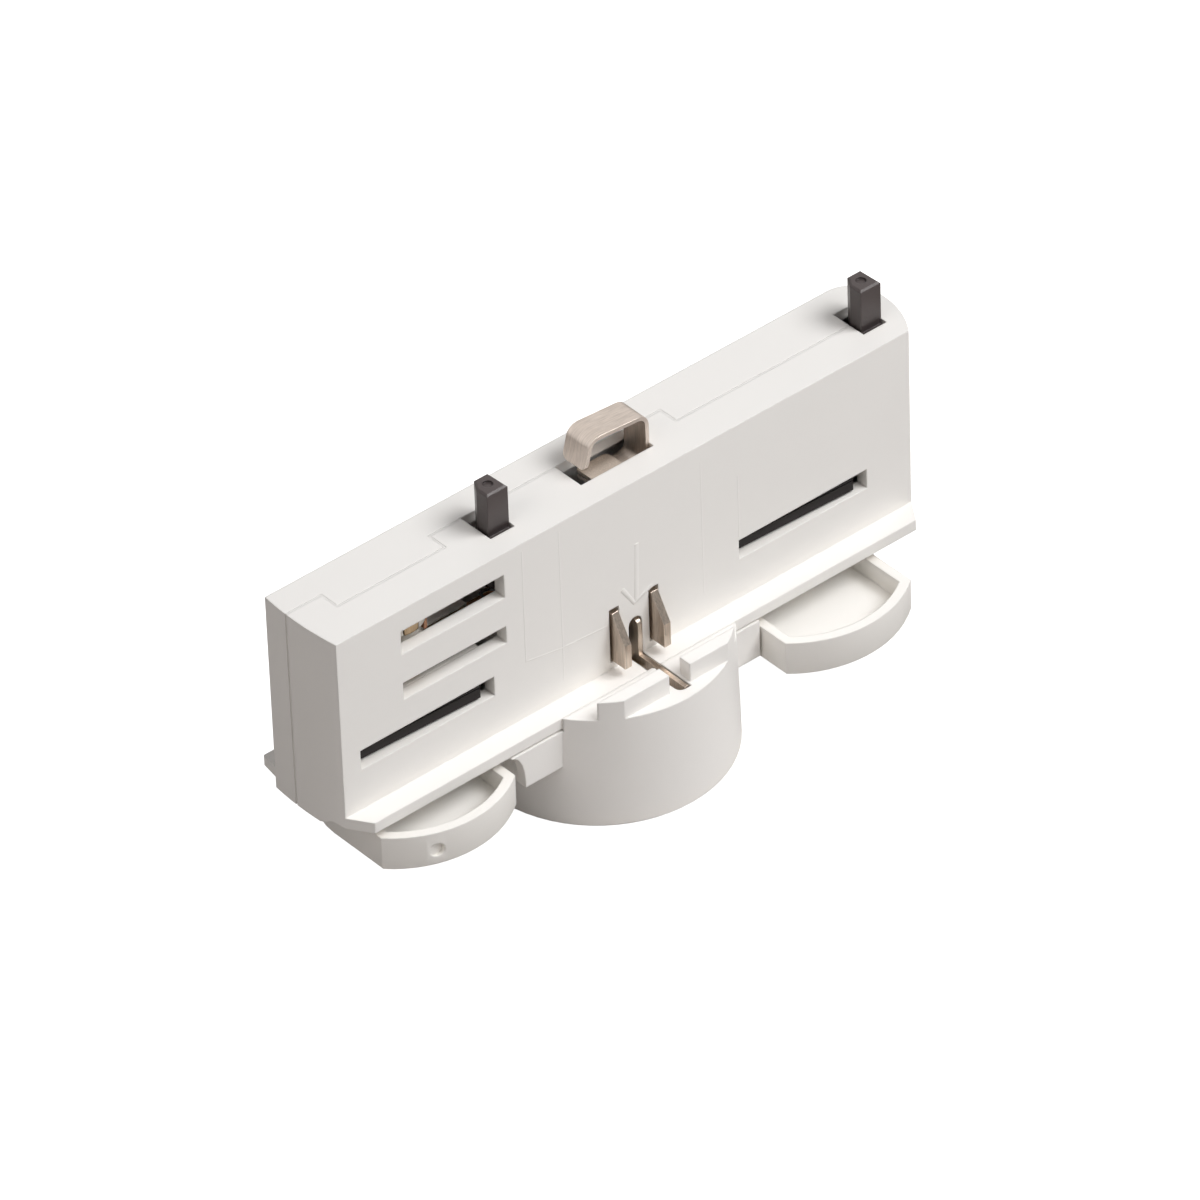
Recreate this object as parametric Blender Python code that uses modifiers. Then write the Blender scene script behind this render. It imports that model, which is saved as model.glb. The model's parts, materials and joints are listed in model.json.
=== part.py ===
"""Track light adapter: the moulded carrier that hangs a spotlight in a three-circuit track.

A long two-part housing goes up into the track.  A round foot under its middle holds the
lamp's stem.  Two levers under the housing turn two shafts: the left shaft swings the
contact arms out of the front and rear slots, and each shaft turns a lock cam that grips
the track's lips.  Two sprung pins and a sprung earth bow stand on the top.

Frame: +X along the body, -Y towards the slotted front face, +Z up into the track.
The sizes are written about the foot's own axis, and one parent moves everything so that
the origin lies at the middle of the object's base.
"""

from math import acos, asin, atan2, cos, pi, radians, sin, sqrt

import bmesh
import bpy
from mathutils import Matrix, Vector

MM = 0.001

# Housing
FACE_LEFT = -51.7 * MM
FACE_RIGHT = 52.2 * MM
BODY_HALF_DEPTH = 7.35 * MM
BODY_TOP = 48.8 * MM
END_BULGE_LEFT = 55.0 * MM
END_BULGE_RIGHT = 14.3 * MM
END_BULGE_Y = 1.2 * MM
REAR_CORNER = 5.0 * MM
FRONT_WALL = 2.1 * MM
WALL = 1.8 * MM
ROOF = 1.8 * MM
SPLIT_Y = 2.5 * MM
SEAM = 0.3 * MM
GAP = 0.3 * MM

# Flange that stops at the track's lips, and the skirt at both ends
FLANGE_LOW = 16.8 * MM
FLANGE_THICK = 1.8 * MM
FLANGE_REACH = 10.9 * MM
FLANGE_CHAMFER = 2.3 * MM
SKIRT_DROP = 1.3 * MM
SKIRT_FRONT_Y = -2.4 * MM
SKIRT_SLOPE = 2.4 * MM
NOTCH_LEFT = -0.2 * MM

# Axes of the two shafts
AXIS_LEFT = -36.55 * MM
AXIS_RIGHT = 32.0 * MM

# Slots of the front face, measured from a shaft's axis
CAM_SLOT_HALF = 11.95 * MM
CAM_SLOT_LOW = 25.4 * MM
CAM_SLOT_HEIGHT = 3.3 * MM
ARM_SLOT_BACK = 3.95 * MM
ARM_SLOT_REACH = 14.45 * MM
UPPER_SLOT_LOW = 41.15 * MM
UPPER_SLOT_HEIGHT = 3.95 * MM
MIDDLE_SLOT_LOW = 33.3 * MM
MIDDLE_SLOT_HEIGHT = 2.9 * MM

# Tabs of the rear cover that reach forward over the shafts
TAB_FRONT_Y = -0.7 * MM
TAB_LEFT_HALF = 9.4 * MM
TAB_RIGHT_BACK = 17.1 * MM

# Shafts
SHAFT_RADIUS = 3.0 * MM
KEY_WIDTH = 4.2 * MM
KEY_DEPTH = 3.4 * MM
SQUARE_WIDTH = 6.0 * MM
SQUARE_BELOW = 0.9 * MM
ROTOR_RADIUS = 4.2 * MM
COLLAR_RADIUS = 4.9 * MM
COLLAR_THICK = 1.4 * MM
PIVOT_RADIUS = 2.1 * MM
PIVOT_DEPTH = 0.9 * MM
GUIDE_LOW = 21.0 * MM
GUIDE_THICK = 1.5 * MM

# Contact arms
ARM_TIP_CLEAR = 0.45 * MM
ARM_HALF_WIDTH = 2.4 * MM
NEUTRAL_REACH = 13.2 * MM
CONTACT_THICK = 0.5 * MM
CONTACT_LENGTH = 8.0 * MM
ARM_ROOT = 2.5 * MM

# Lock cams
CAM_REACH = 11.3 * MM
CAM_ROUND = 12.0 * MM
CAM_FRONT_NEAR = 6.75 * MM
CAM_FRONT_FAR = 5.85 * MM
CAM_THICK = 2.5 * MM
CAM_GROOVE = 0.3 * MM
CAM_GROOVE_RISE = 1.55 * MM
CAM_FLAT_REACH = 9.85 * MM

# Levers
LEVER_TOP = 15.2 * MM
LEVER_HEIGHT = 5.8 * MM
LEVER_RIM = 1.5 * MM
LEVER_RECESS = 3.2 * MM
LEVER_EDGE = 0.7 * MM
LEVER_HUB = 5.6 * MM
LEFT_ARC_RADIUS = 16.75 * MM
LEFT_ARC_X = 0.55 * MM
LEFT_ARC_Y = 0.7 * MM
LEFT_OUT = 11.75 * MM
LEFT_LEVER_SPACE = 6.15 * MM
RIGHT_ARC_RADIUS = 17.55 * MM
RIGHT_ARC_X = 0.55 * MM
RIGHT_ARC_Y = -3.3 * MM
RIGHT_LEVER_SPACE = 0.8 * MM
RIGHT_IN = 11.1 * MM
DIMPLE_X = -5.35 * MM
DIMPLE_RISE = 2.8 * MM
DIMPLE_RADIUS = 1.1 * MM
DIMPLE_DEPTH = 0.45 * MM

# Interlock pins
LEFT_PIN_SPACE = 3.0 * MM
RIGHT_PIN_INSET = 3.1 * MM
PIN_HALF_WIDTH = 1.85 * MM
PIN_FRONT_Y = -2.95 * MM
PIN_BACK_Y = 1.1 * MM
PIN_TAPER = 1.1 * MM
PIN_TAPER_Y = -0.7 * MM
PIN_RISE = 6.8 * MM
PIN_STEP = 0.45 * MM
PIN_STEP_DROP = 0.4 * MM
PIN_TRAVEL = 6.0 * MM
PIN_COLLAR = 0.6 * MM
PIN_COLLAR_THICK = 2.1 * MM
PIN_STEM_RADIUS = 1.1 * MM
PIN_STEM_LENGTH = 6.2 * MM
PIN_TOP_BEVEL = 0.3 * MM
PIN_DIMPLE = 0.8 * MM
PIN_SLOT_FRONT_Y = -3.75 * MM
PIN_SLOT_SIDE = 0.3 * MM
SHELF_THICK = 1.5 * MM

# Earth bow on the top
BOW_LEFT = -3.25 * MM
BOW_RIGHT = 8.5 * MM
BOW_FRONT_Y = -2.5 * MM
BOW_BACK_Y = 2.25 * MM
BOW_THICK = 0.6 * MM
BOW_RISE_LEFT = 6.1 * MM
BOW_RISE_RIGHT = 5.6 * MM
BOW_FREE_RISE = 1.3 * MM
BOW_END_ROUND = 0.9 * MM
BOW_CORNER = 1.65 * MM
BOW_BEND = 1.5 * MM
BOW_LEAN = 0.85 * MM
BOW_SHOULDER = 2.65 * MM
BOW_SHOULDER_DROP = 1.3 * MM
BOW_BASE = 8.8 * MM
BOW_TRAVEL = 4.8 * MM
BOW_SLOT_LEFT_SIDE = 1.1 * MM
BOW_SLOT_RIGHT_SIDE = 0.3 * MM
BOW_SLOT_FRONT_SIDE = 0.5 * MM
BOW_LEDGE_THICK = 1.7 * MM
PLATE_LEFT = -0.65 * MM
PLATE_RIGHT = 4.85 * MM
PLATE_FRONT_Y = -4.8 * MM
PLATE_THICK = 0.6 * MM
PLATE_ROUND = 1.0 * MM

# Springs
SPRING_WIRE = 0.2 * MM
PIN_SPRING_RADIUS = 1.7 * MM
PIN_SPRING_TURNS = 6
BOW_SPRING_RADIUS = 2.5 * MM
BOW_SPRING_TURNS = 5
BOW_SPRING_CLOSED = 7.6 * MM

# Earth claws, and the earth strip that runs out over the foot
CLAW_LEFT = -3.5 * MM
CLAW_RIGHT = 3.7 * MM
CLAW_THICK = 1.2 * MM
CLAW_LOW = 20.1 * MM
CLAW_KNEE = 24.0 * MM
CLAW_TOP = 28.4 * MM
CLAW_REACH = 10.15 * MM
CLAW_SHOULDER = 7.6 * MM
CLAW_WEB_Y = -4.6 * MM
STRIP_LEFT = 1.1 * MM
STRIP_THICK = 0.7 * MM
STRIP_PAST_KERB = 0.4 * MM
STRIP_DEPTH = 3.0 * MM
POCKET_LEFT = -0.1 * MM
POCKET_BACK = 13.6 * MM
POCKET_ROUND = 1.0 * MM
TONGUE_FRONT = 7.65 * MM
TONGUE_BACK = 5.6 * MM
TONGUE_TOP = 24.7 * MM
TONGUE_SLOT_LEFT = -0.35 * MM
TONGUE_SLOT_TOP = 25.5 * MM

# Foot
FOOT_RADIUS = 19.8 * MM
FOOT_DRAFT = 0.4 * MM
FOOT_WALL = 2.2 * MM
FOOT_ROOF = 2.8 * MM
FOOT_LEDGE = 0.1 * MM
FOOT_EDGE = 0.4 * MM
KERB_INSET = 2.5 * MM
KERB_THICK = 2.15 * MM
KERB_HEIGHT = 3.1 * MM
KERB_GAP_LEFT = -1.3 * MM
KERB_GAP_RIGHT = 2.5 * MM
BOSS_RADIUS = 8.6 * MM
BOSS_LOW = 4.6 * MM
RIB_THICK = 1.4 * MM
RIB_COUNT = 6
RIB_LOW = 2.5 * MM
WIRE_HOLE = 4.0 * MM

# Stop blocks beside the foot
STOP_FRONT = 11.1 * MM
STOP_BACK = 6.5 * MM
STOP_LOW = 10.3 * MM
STOP_LEFT_CLEAR = 3.15 * MM
STOP_ROOT = 5.3 * MM
GUSSET_FLARE = 2.4 * MM
GUSSET_HEIGHT = 5.0 * MM

# Stem bush in the foot
BUSH_RADIUS = 5.6 * MM
BUSH_BORE = 4.3 * MM
BUSH_HEAD_FLATS = 13.0 * MM
BUSH_HEAD_THICK = 2.5 * MM
BUSH_LOW = 1.0 * MM
NUT_FLATS = 14.0 * MM
NUT_THICK = 3.0 * MM

# Fasteners
SCREW_RADIUS = 1.0 * MM
SCREW_HEAD = 2.0 * MM
SCREW_HEAD_THICK = 1.3 * MM
SCREW_BOSS = 2.4 * MM
HOUSING_SCREW_UP = 43.5 * MM
HOUSING_SCREW_LOW = 23.5 * MM
HOUSING_SCREW_LEFT_UP = -13.2 * MM
HOUSING_SCREW_RIGHT_UP = 13.2 * MM
HOUSING_SCREW_LEFT_LOW = -15.8 * MM
HOUSING_SCREW_RIGHT_LOW = 15.8 * MM
HOUSING_SCREW_TIP = -3.6 * MM
FOOT_SCREW_X = 11.5 * MM
FOOT_SCREW_Y = -1.6 * MM
FOOT_SCREW_RISE = 5.0 * MM
LEVER_SCREW_HEAD = 2.4 * MM
CROSS_DEPTH = 0.7 * MM
CROSS_REACH = 1.4 * MM
CROSS_HALF = 0.32 * MM

# Terminals and strips
TERMINAL_WIDTH = 4.0 * MM
TERMINAL_HEIGHT = 6.0 * MM
TERMINAL_DEPTH = 5.2 * MM
TERMINAL_BORE = 1.2 * MM
TERMINAL_WIRE_DEPTH = 4.5 * MM
TERMINAL_SCREW_HEAD = 1.6 * MM
SCREW_SLOT_HALF = 0.3 * MM
TERMINALS = {
    "line": (-11.0 * MM, 32.6 * MM),
    "neutral": (11.0 * MM, 29.0 * MM),
    "earth": (5.2 * MM, 24.0 * MM),
}
LEAD_THICK = 0.5 * MM
LEAD_HEIGHT = 2.6 * MM
LEAD_Y = 3.6 * MM
LEAD_BEND = 2.4 * MM
LEAD_DROP = 2.0 * MM
LEAD_TAIL = 3.0 * MM
WIPER_HALF = 1.6 * MM
LINE_LEAD_LOW = 37.6 * MM
NEUTRAL_LEAD_LOW = 30.0 * MM
DETENT_HALF = 6.0 * MM
DETENT_LOW = 19.2 * MM
DETENT_HEIGHT = 3.0 * MM
DETENT_THICK = 0.4 * MM

FLANGE_TOP = FLANGE_LOW + FLANGE_THICK
CAVITY_TOP = BODY_TOP - ROOF
FOOT_SEAT = FLANGE_LOW - GAP
FOOT_TOP = FLANGE_TOP + FOOT_LEDGE
LEVER_LOW = LEVER_TOP - LEVER_HEIGHT
ARM_REACH = ARM_SLOT_REACH - ARM_TIP_CLEAR
FOOT_TOP_RADIUS = FOOT_RADIUS - FOOT_DRAFT
KERB_OUTER = FOOT_TOP_RADIUS - KERB_INSET
STRIP_REACH = KERB_OUTER + STRIP_PAST_KERB
LEFT_IN = -AXIS_LEFT - FOOT_RADIUS - LEFT_LEVER_SPACE
RIGHT_OUT = AXIS_RIGHT - FOOT_RADIUS - RIGHT_LEVER_SPACE
STOP_LEFT_OUTER = AXIS_LEFT + LEFT_IN + STOP_LEFT_CLEAR
STOP_RIGHT_OUTER = AXIS_RIGHT - RIGHT_OUT - GAP
STOP_INNER = FOOT_RADIUS - STOP_ROOT
PLATE_LOW = CAVITY_TOP - GAP - PLATE_THICK
BOW_BASE_Z = PLATE_LOW - GAP - BOW_THICK / 2
PIN_COLLAR_LOW = CAVITY_TOP - GAP - PIN_COLLAR_THICK
PIN_SHELF_TOP = PIN_COLLAR_LOW - PIN_STEM_LENGTH - PIN_TRAVEL - GAP
BOW_SHELF_TOP = BOW_BASE_Z - BOW_THICK / 2 - BOW_TRAVEL - BOW_SPRING_CLOSED
INNER_FRONT = -BODY_HALF_DEPTH + FRONT_WALL
INNER_REAR = BODY_HALF_DEPTH - WALL
FRONT_EDGE = SPLIT_Y - SEAM / 2
REAR_EDGE = SPLIT_Y + SEAM / 2
FAR = 200.0 * MM
WELD = 0.001 * MM

parts = bpy.data.collections.new("track_light_adapter")
cutters = bpy.data.collections.new("cutters")
materials = {}


def clear_scene():
    for thing in list(bpy.data.objects):
        bpy.data.objects.remove(thing, do_unlink=True)
    bpy.context.scene.collection.children.link(parts)
    bpy.context.scene.collection.children.link(cutters)


def material(name, color, roughness, metallic=0.0):
    made = bpy.data.materials.new(name)
    made.use_nodes = True
    shader = made.node_tree.nodes["Principled BSDF"]
    shader.inputs["Base Color"].default_value = (*color, 1.0)
    shader.inputs["Roughness"].default_value = roughness
    shader.inputs["Metallic"].default_value = metallic
    materials[name] = made


def add_object(name, data):
    made = bpy.data.objects.new(name, data)
    cutters.objects.link(made)
    made.hide_render = True
    made.display_type = "WIRE"
    return made


def evaluated_mesh(thing):
    depsgraph = bpy.context.evaluated_depsgraph_get()
    return bpy.data.meshes.new_from_object(thing.evaluated_get(depsgraph))


def as_mesh(thing):
    """Turn a curve, or a mesh with modifiers, into a plain closed mesh in the same place."""
    mesh = evaluated_mesh(thing)
    mesh.transform(thing.matrix_world)
    name = thing.name
    bpy.data.objects.remove(thing, do_unlink=True)
    form = bmesh.new()
    form.from_mesh(mesh)
    bmesh.ops.remove_doubles(form, verts=form.verts, dist=WELD)
    bmesh.ops.recalc_face_normals(form, faces=form.faces)
    form.to_mesh(mesh)
    form.free()
    return add_object(name, mesh)


def from_bmesh(name, form):
    mesh = bpy.data.meshes.new(name)
    form.to_mesh(mesh)
    form.free()
    return add_object(name, mesh)


def block(name, low, high):
    low, high = Vector(low), Vector(high)
    size = high - low
    place = Matrix.Translation((low + high) / 2) @ Matrix.Diagonal((*size, 1.0))
    form = bmesh.new()
    bmesh.ops.create_cube(form, size=1.0, matrix=place)
    return from_bmesh(name, form)


def rod(name, centre, radius, low, high, axis="Z", sides=32, end_radius=None):
    """A cylinder or cone along an axis; centre gives the two other coordinates."""
    turns = {"X": Matrix.Rotation(pi / 2, 4, "Y"), "Y": Matrix.Rotation(-pi / 2, 4, "X"), "Z": Matrix()}
    middle = (low + high) / 2
    places = {"X": (middle, *centre), "Y": (centre[0], middle, centre[1]), "Z": (*centre, middle)}
    form = bmesh.new()
    bmesh.ops.create_cone(
        form,
        cap_ends=True,
        segments=sides,
        radius1=radius,
        radius2=radius if end_radius is None else end_radius,
        depth=high - low,
        matrix=Matrix.Translation(places[axis]) @ turns[axis],
    )
    return from_bmesh(name, form)


def hexagon(name, centre, flats, low, high):
    return rod(name, centre, flats / sqrt(3.0), low, high, sides=6)


def slab(name, outline, low, high, axis="Z"):
    """A flat outline filled and extruded along an axis.

    The outline is (x, y) for Z, (x, z) for Y and (y, z) for X.
    """
    curve = bpy.data.curves.new(name, "CURVE")
    curve.dimensions = "2D"
    curve.fill_mode = "BOTH"
    curve.extrude = (high - low) / 2
    spline = curve.splines.new("POLY")
    spline.points.add(len(outline) - 1)
    for point, place in zip(spline.points, outline):
        point.co = (place[0], place[1], 0.0, 1.0)
    spline.use_cyclic_u = True
    made = add_object(name, curve)
    middle = (low + high) / 2
    upright = Matrix.Rotation(pi / 2, 4, "X")
    frames = {
        "Z": Matrix.Translation((0, 0, middle)),
        "Y": Matrix.Translation((0, middle, 0)) @ upright,
        "X": Matrix.Translation((middle, 0, 0)) @ Matrix.Rotation(pi / 2, 4, "Z") @ upright,
    }
    made.matrix_world = frames[axis]
    bpy.context.view_layer.update()
    return as_mesh(made)


def turned(name, centre, profile, sides=32):
    """A closed (radius, height) profile turned about a vertical line; outer side top to bottom."""
    form = bmesh.new()
    corners = [form.verts.new((radius, 0.0, height)) for radius, height in profile]
    for first, second in zip(corners, corners[1:] + corners[:1]):
        form.edges.new((first, second))
    made = from_bmesh(name, form)
    made.location = (*centre, 0.0)
    screw = made.modifiers.new("turn", "SCREW")
    screw.steps = sides
    screw.render_steps = sides
    screw.use_merge_vertices = True
    screw.merge_threshold = WELD
    bpy.context.view_layer.update()
    return as_mesh(made)


def turned_solid(name, centre, profile, sides=32):
    """A turned piece with no bore: the profile's ends run in to the axis."""
    form = bmesh.new()
    points = [(0.0, profile[0][1]), *profile, (0.0, profile[-1][1])]
    corners = [form.verts.new((radius, 0.0, height)) for radius, height in points]
    for first, second in zip(corners, corners[1:]):
        form.edges.new((first, second))
    made = from_bmesh(name, form)
    made.location = (*centre, 0.0)
    screw = made.modifiers.new("turn", "SCREW")
    screw.steps = sides
    screw.render_steps = sides
    screw.use_merge_vertices = True
    screw.merge_threshold = WELD
    bpy.context.view_layer.update()
    return as_mesh(made)


def sheet(name, path, low, high, thick, axis="Z"):
    """A bent strip: an open path swept along an axis and thickened evenly to both sides."""
    places = {
        "Z": lambda point, height: (point[0], point[1], height),
        "Y": lambda point, height: (point[0], height, point[1]),
        "X": lambda point, height: (height, point[0], point[1]),
    }
    form = bmesh.new()
    rows = [[form.verts.new(places[axis](point, height)) for point in path] for height in (low, high)]
    for index in range(len(path) - 1):
        form.faces.new((rows[0][index], rows[0][index + 1], rows[1][index + 1], rows[1][index]))
    made = from_bmesh(name, form)
    solid = made.modifiers.new("thickness", "SOLIDIFY")
    solid.thickness = thick
    solid.offset = 0.0
    solid.use_even_offset = True
    return as_mesh(made)


def coil(name, centre, radius, low, high, turns, wire):
    """A compression spring with closed end turns."""
    steps = 10 * turns
    curve = bpy.data.curves.new(name, "CURVE")
    curve.dimensions = "3D"
    curve.bevel_depth = wire
    curve.bevel_resolution = 2
    curve.use_fill_caps = True
    spline = curve.splines.new("POLY")
    spline.points.add(steps)
    for step, point in enumerate(spline.points):
        share = step / steps
        angle = 2 * pi * turns * share
        eased = share - sin(2 * pi * share) / (4 * pi)
        height = low + wire + (high - low - 2 * wire) * eased
        point.co = (centre[0] + radius * cos(angle), centre[1] + radius * sin(angle), height, 1.0)
    return as_mesh(add_object(name, curve))


def drop_slivers(mesh):
    """Weld points that a cut left closer together than a micrometre."""
    form = bmesh.new()
    form.from_mesh(mesh)
    bmesh.ops.remove_doubles(form, verts=form.verts, dist=WELD)
    bmesh.ops.dissolve_degenerate(form, edges=form.edges, dist=WELD)
    form.to_mesh(mesh)
    form.free()


def combine(piece, others, operation):
    for other in others:
        boolean = piece.modifiers.new(operation.lower(), "BOOLEAN")
        boolean.object = other
        boolean.operation = operation
        boolean.solver = "EXACT"
        mesh = evaluated_mesh(piece)
        piece.modifiers.clear()
        drop_slivers(mesh)
        piece.data = mesh
        bpy.data.objects.remove(other, do_unlink=True)
    return piece


def cut(piece, *others):
    return combine(piece, others, "DIFFERENCE")


def join(piece, *others):
    return combine(piece, others, "UNION")


def overlap(piece, *others):
    return combine(piece, others, "INTERSECT")


def round_edges(piece, width, chosen, steps=2):
    """Round the edges whose middle point passes a test."""
    form = bmesh.new()
    form.from_mesh(piece.data)
    edges = [
        edge
        for edge in form.edges
        if len(edge.link_faces) == 2
        and edge.calc_face_angle() > radians(25)
        and chosen((edge.verts[0].co + edge.verts[1].co) / 2, edge)
    ]
    bmesh.ops.bevel(form, geom=edges, offset=width, segments=steps, profile=0.5, affect="EDGES")
    form.to_mesh(piece.data)
    form.free()
    return piece


def finish(piece, name, finish_name, parent):
    """Name a piece, give it its material and hang it on its parent without moving it."""
    piece.name = name
    piece.data.name = name
    piece.data.materials.clear()
    piece.data.materials.append(materials[finish_name])
    piece.data.shade_smooth()
    piece.data.set_sharp_from_angle(angle=radians(30))
    cutters.objects.unlink(piece)
    parts.objects.link(piece)
    piece.hide_render = False
    piece.display_type = "TEXTURED"
    piece.parent = parent
    if parent.parent:
        piece.location = -parent.location
    return piece


def joint_empty(name, place, root):
    made = bpy.data.objects.new(name, None)
    made.empty_display_size = 4 * MM
    parts.objects.link(made)
    made.location = place
    made.parent = root
    return made


# Outlines of the housing in plan

def left_end(y, inset=0.0):
    centre = FACE_LEFT + sqrt(END_BULGE_LEFT**2 - (BODY_HALF_DEPTH + END_BULGE_Y) ** 2)
    return centre - sqrt(END_BULGE_LEFT**2 - (y - END_BULGE_Y) ** 2) + inset


def right_end(y, inset=0.0):
    centre = FACE_RIGHT - sqrt(END_BULGE_RIGHT**2 - (BODY_HALF_DEPTH + END_BULGE_Y) ** 2)
    return centre + sqrt(END_BULGE_RIGHT**2 - (y - END_BULGE_Y) ** 2) - inset


def spread(first, last, count):
    return [first + (last - first) * step / count for step in range(count + 1)]


def front_outline(front, back, inset=0.0):
    left = [(left_end(y, inset), y) for y in spread(back, front, 6)]
    right = [(right_end(y, inset), y) for y in spread(front, back, 10)]
    return left + right


def rear_outline(front, back, inset=0.0):
    corner = REAR_CORNER - inset
    centre = (right_end(front, inset) - corner, back - corner)
    start = asin(max(0.0, front - centre[1]) / corner)
    arc = [
        (centre[0] + corner * cos(angle), centre[1] + corner * sin(angle))
        for angle in spread(start, pi / 2, 8)
    ]
    left = [(left_end(y, inset), y) for y in spread(back, front, 4)]
    return [(right_end(front, inset), front)] * (centre[1] > front) + arc + left


def flange_outline(side):
    """The flange on one side of the body: side is -1 for the front and 1 for the rear."""
    face = side * BODY_HALF_DEPTH
    inner = side * (BODY_HALF_DEPTH - FRONT_WALL / 2)
    reach = side * FLANGE_REACH
    right = FACE_RIGHT if side < 0 else FACE_RIGHT - FLANGE_CHAMFER / 2
    left = FACE_LEFT
    return [
        (left + FRONT_WALL / 2, inner),
        (left, face),
        (left + (FLANGE_CHAMFER if side < 0 else FLANGE_CHAMFER / 4), reach),
        (right - FLANGE_CHAMFER, reach),
        (right, face),
        (right - FRONT_WALL, inner),
    ]


def slot_block(axis_x, back, reach, low, height, side):
    """A cutter through one long wall: side is -1 for the front and 1 for the rear."""
    reach_in = FRONT_WALL + MM
    walls = sorted((side * (BODY_HALF_DEPTH - reach_in), side * (BODY_HALF_DEPTH + reach_in)))
    left, right = (axis_x - back, axis_x + reach)
    return block("slot", (left, walls[0], low), (right, walls[1], low + height))


def skirt(outer, inner, front):
    """The short wall under one housing half's ends, with its sloped front corner."""
    low = FLANGE_LOW - SKIRT_DROP
    made = slab("skirt", outer, low, FLANGE_LOW + FLANGE_THICK / 2)
    cut(made, slab("inside", inner, low - MM, FLANGE_TOP))
    cut(made, block("middle", (FACE_LEFT + WALL, -FAR, low - MM), (FACE_RIGHT - WALL, FAR, FLANGE_TOP)))
    if front < SKIRT_FRONT_Y:
        slope_y = SKIRT_FRONT_Y - SKIRT_SLOPE
        slope = [
            (front - MM, low - MM),
            (SKIRT_FRONT_Y, low - MM),
            (SKIRT_FRONT_Y, low),
            (SKIRT_FRONT_Y - SKIRT_SLOPE / 2, low + SKIRT_DROP / 3),
            (slope_y, FLANGE_LOW),
            (slope_y, FLANGE_TOP),
            (front - MM, FLANGE_TOP),
        ]
        cut(made, slab("slope", slope, -FAR, FAR, "X"))
    return made


def shaft_holes(axis_x):
    """The bores of one shaft: through the floor, and a blind one in the roof."""
    journal = SHAFT_RADIUS + GAP
    yield rod("floor_bore", (axis_x, 0), journal, FLANGE_LOW - MM, FLANGE_TOP + MM, sides=28)
    pivot_top = CAVITY_TOP + PIVOT_DEPTH + GAP
    yield rod("roof_bore", (axis_x, 0), PIVOT_RADIUS + GAP, CAVITY_TOP - MM, pivot_top, sides=24)


def tab_span(axis_x):
    if axis_x < 0:
        return axis_x - TAB_LEFT_HALF, axis_x + TAB_LEFT_HALF
    return axis_x - TAB_RIGHT_BACK, pin_centres()[1] - PIN_HALF_WIDTH - PIN_SLOT_SIDE


def housing_screw_places():
    return (
        (HOUSING_SCREW_LEFT_UP, HOUSING_SCREW_UP),
        (HOUSING_SCREW_RIGHT_UP, HOUSING_SCREW_UP),
        (HOUSING_SCREW_LEFT_LOW, HOUSING_SCREW_LOW),
        (HOUSING_SCREW_RIGHT_LOW, HOUSING_SCREW_LOW),
    )


def pin_centres():
    return AXIS_LEFT + ARM_SLOT_REACH + LEFT_PIN_SPACE, FACE_RIGHT - RIGHT_PIN_INSET


def bow_centre():
    return (BOW_LEFT + BOW_RIGHT) / 2, (BOW_FRONT_Y + BOW_BACK_Y) / 2


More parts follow.
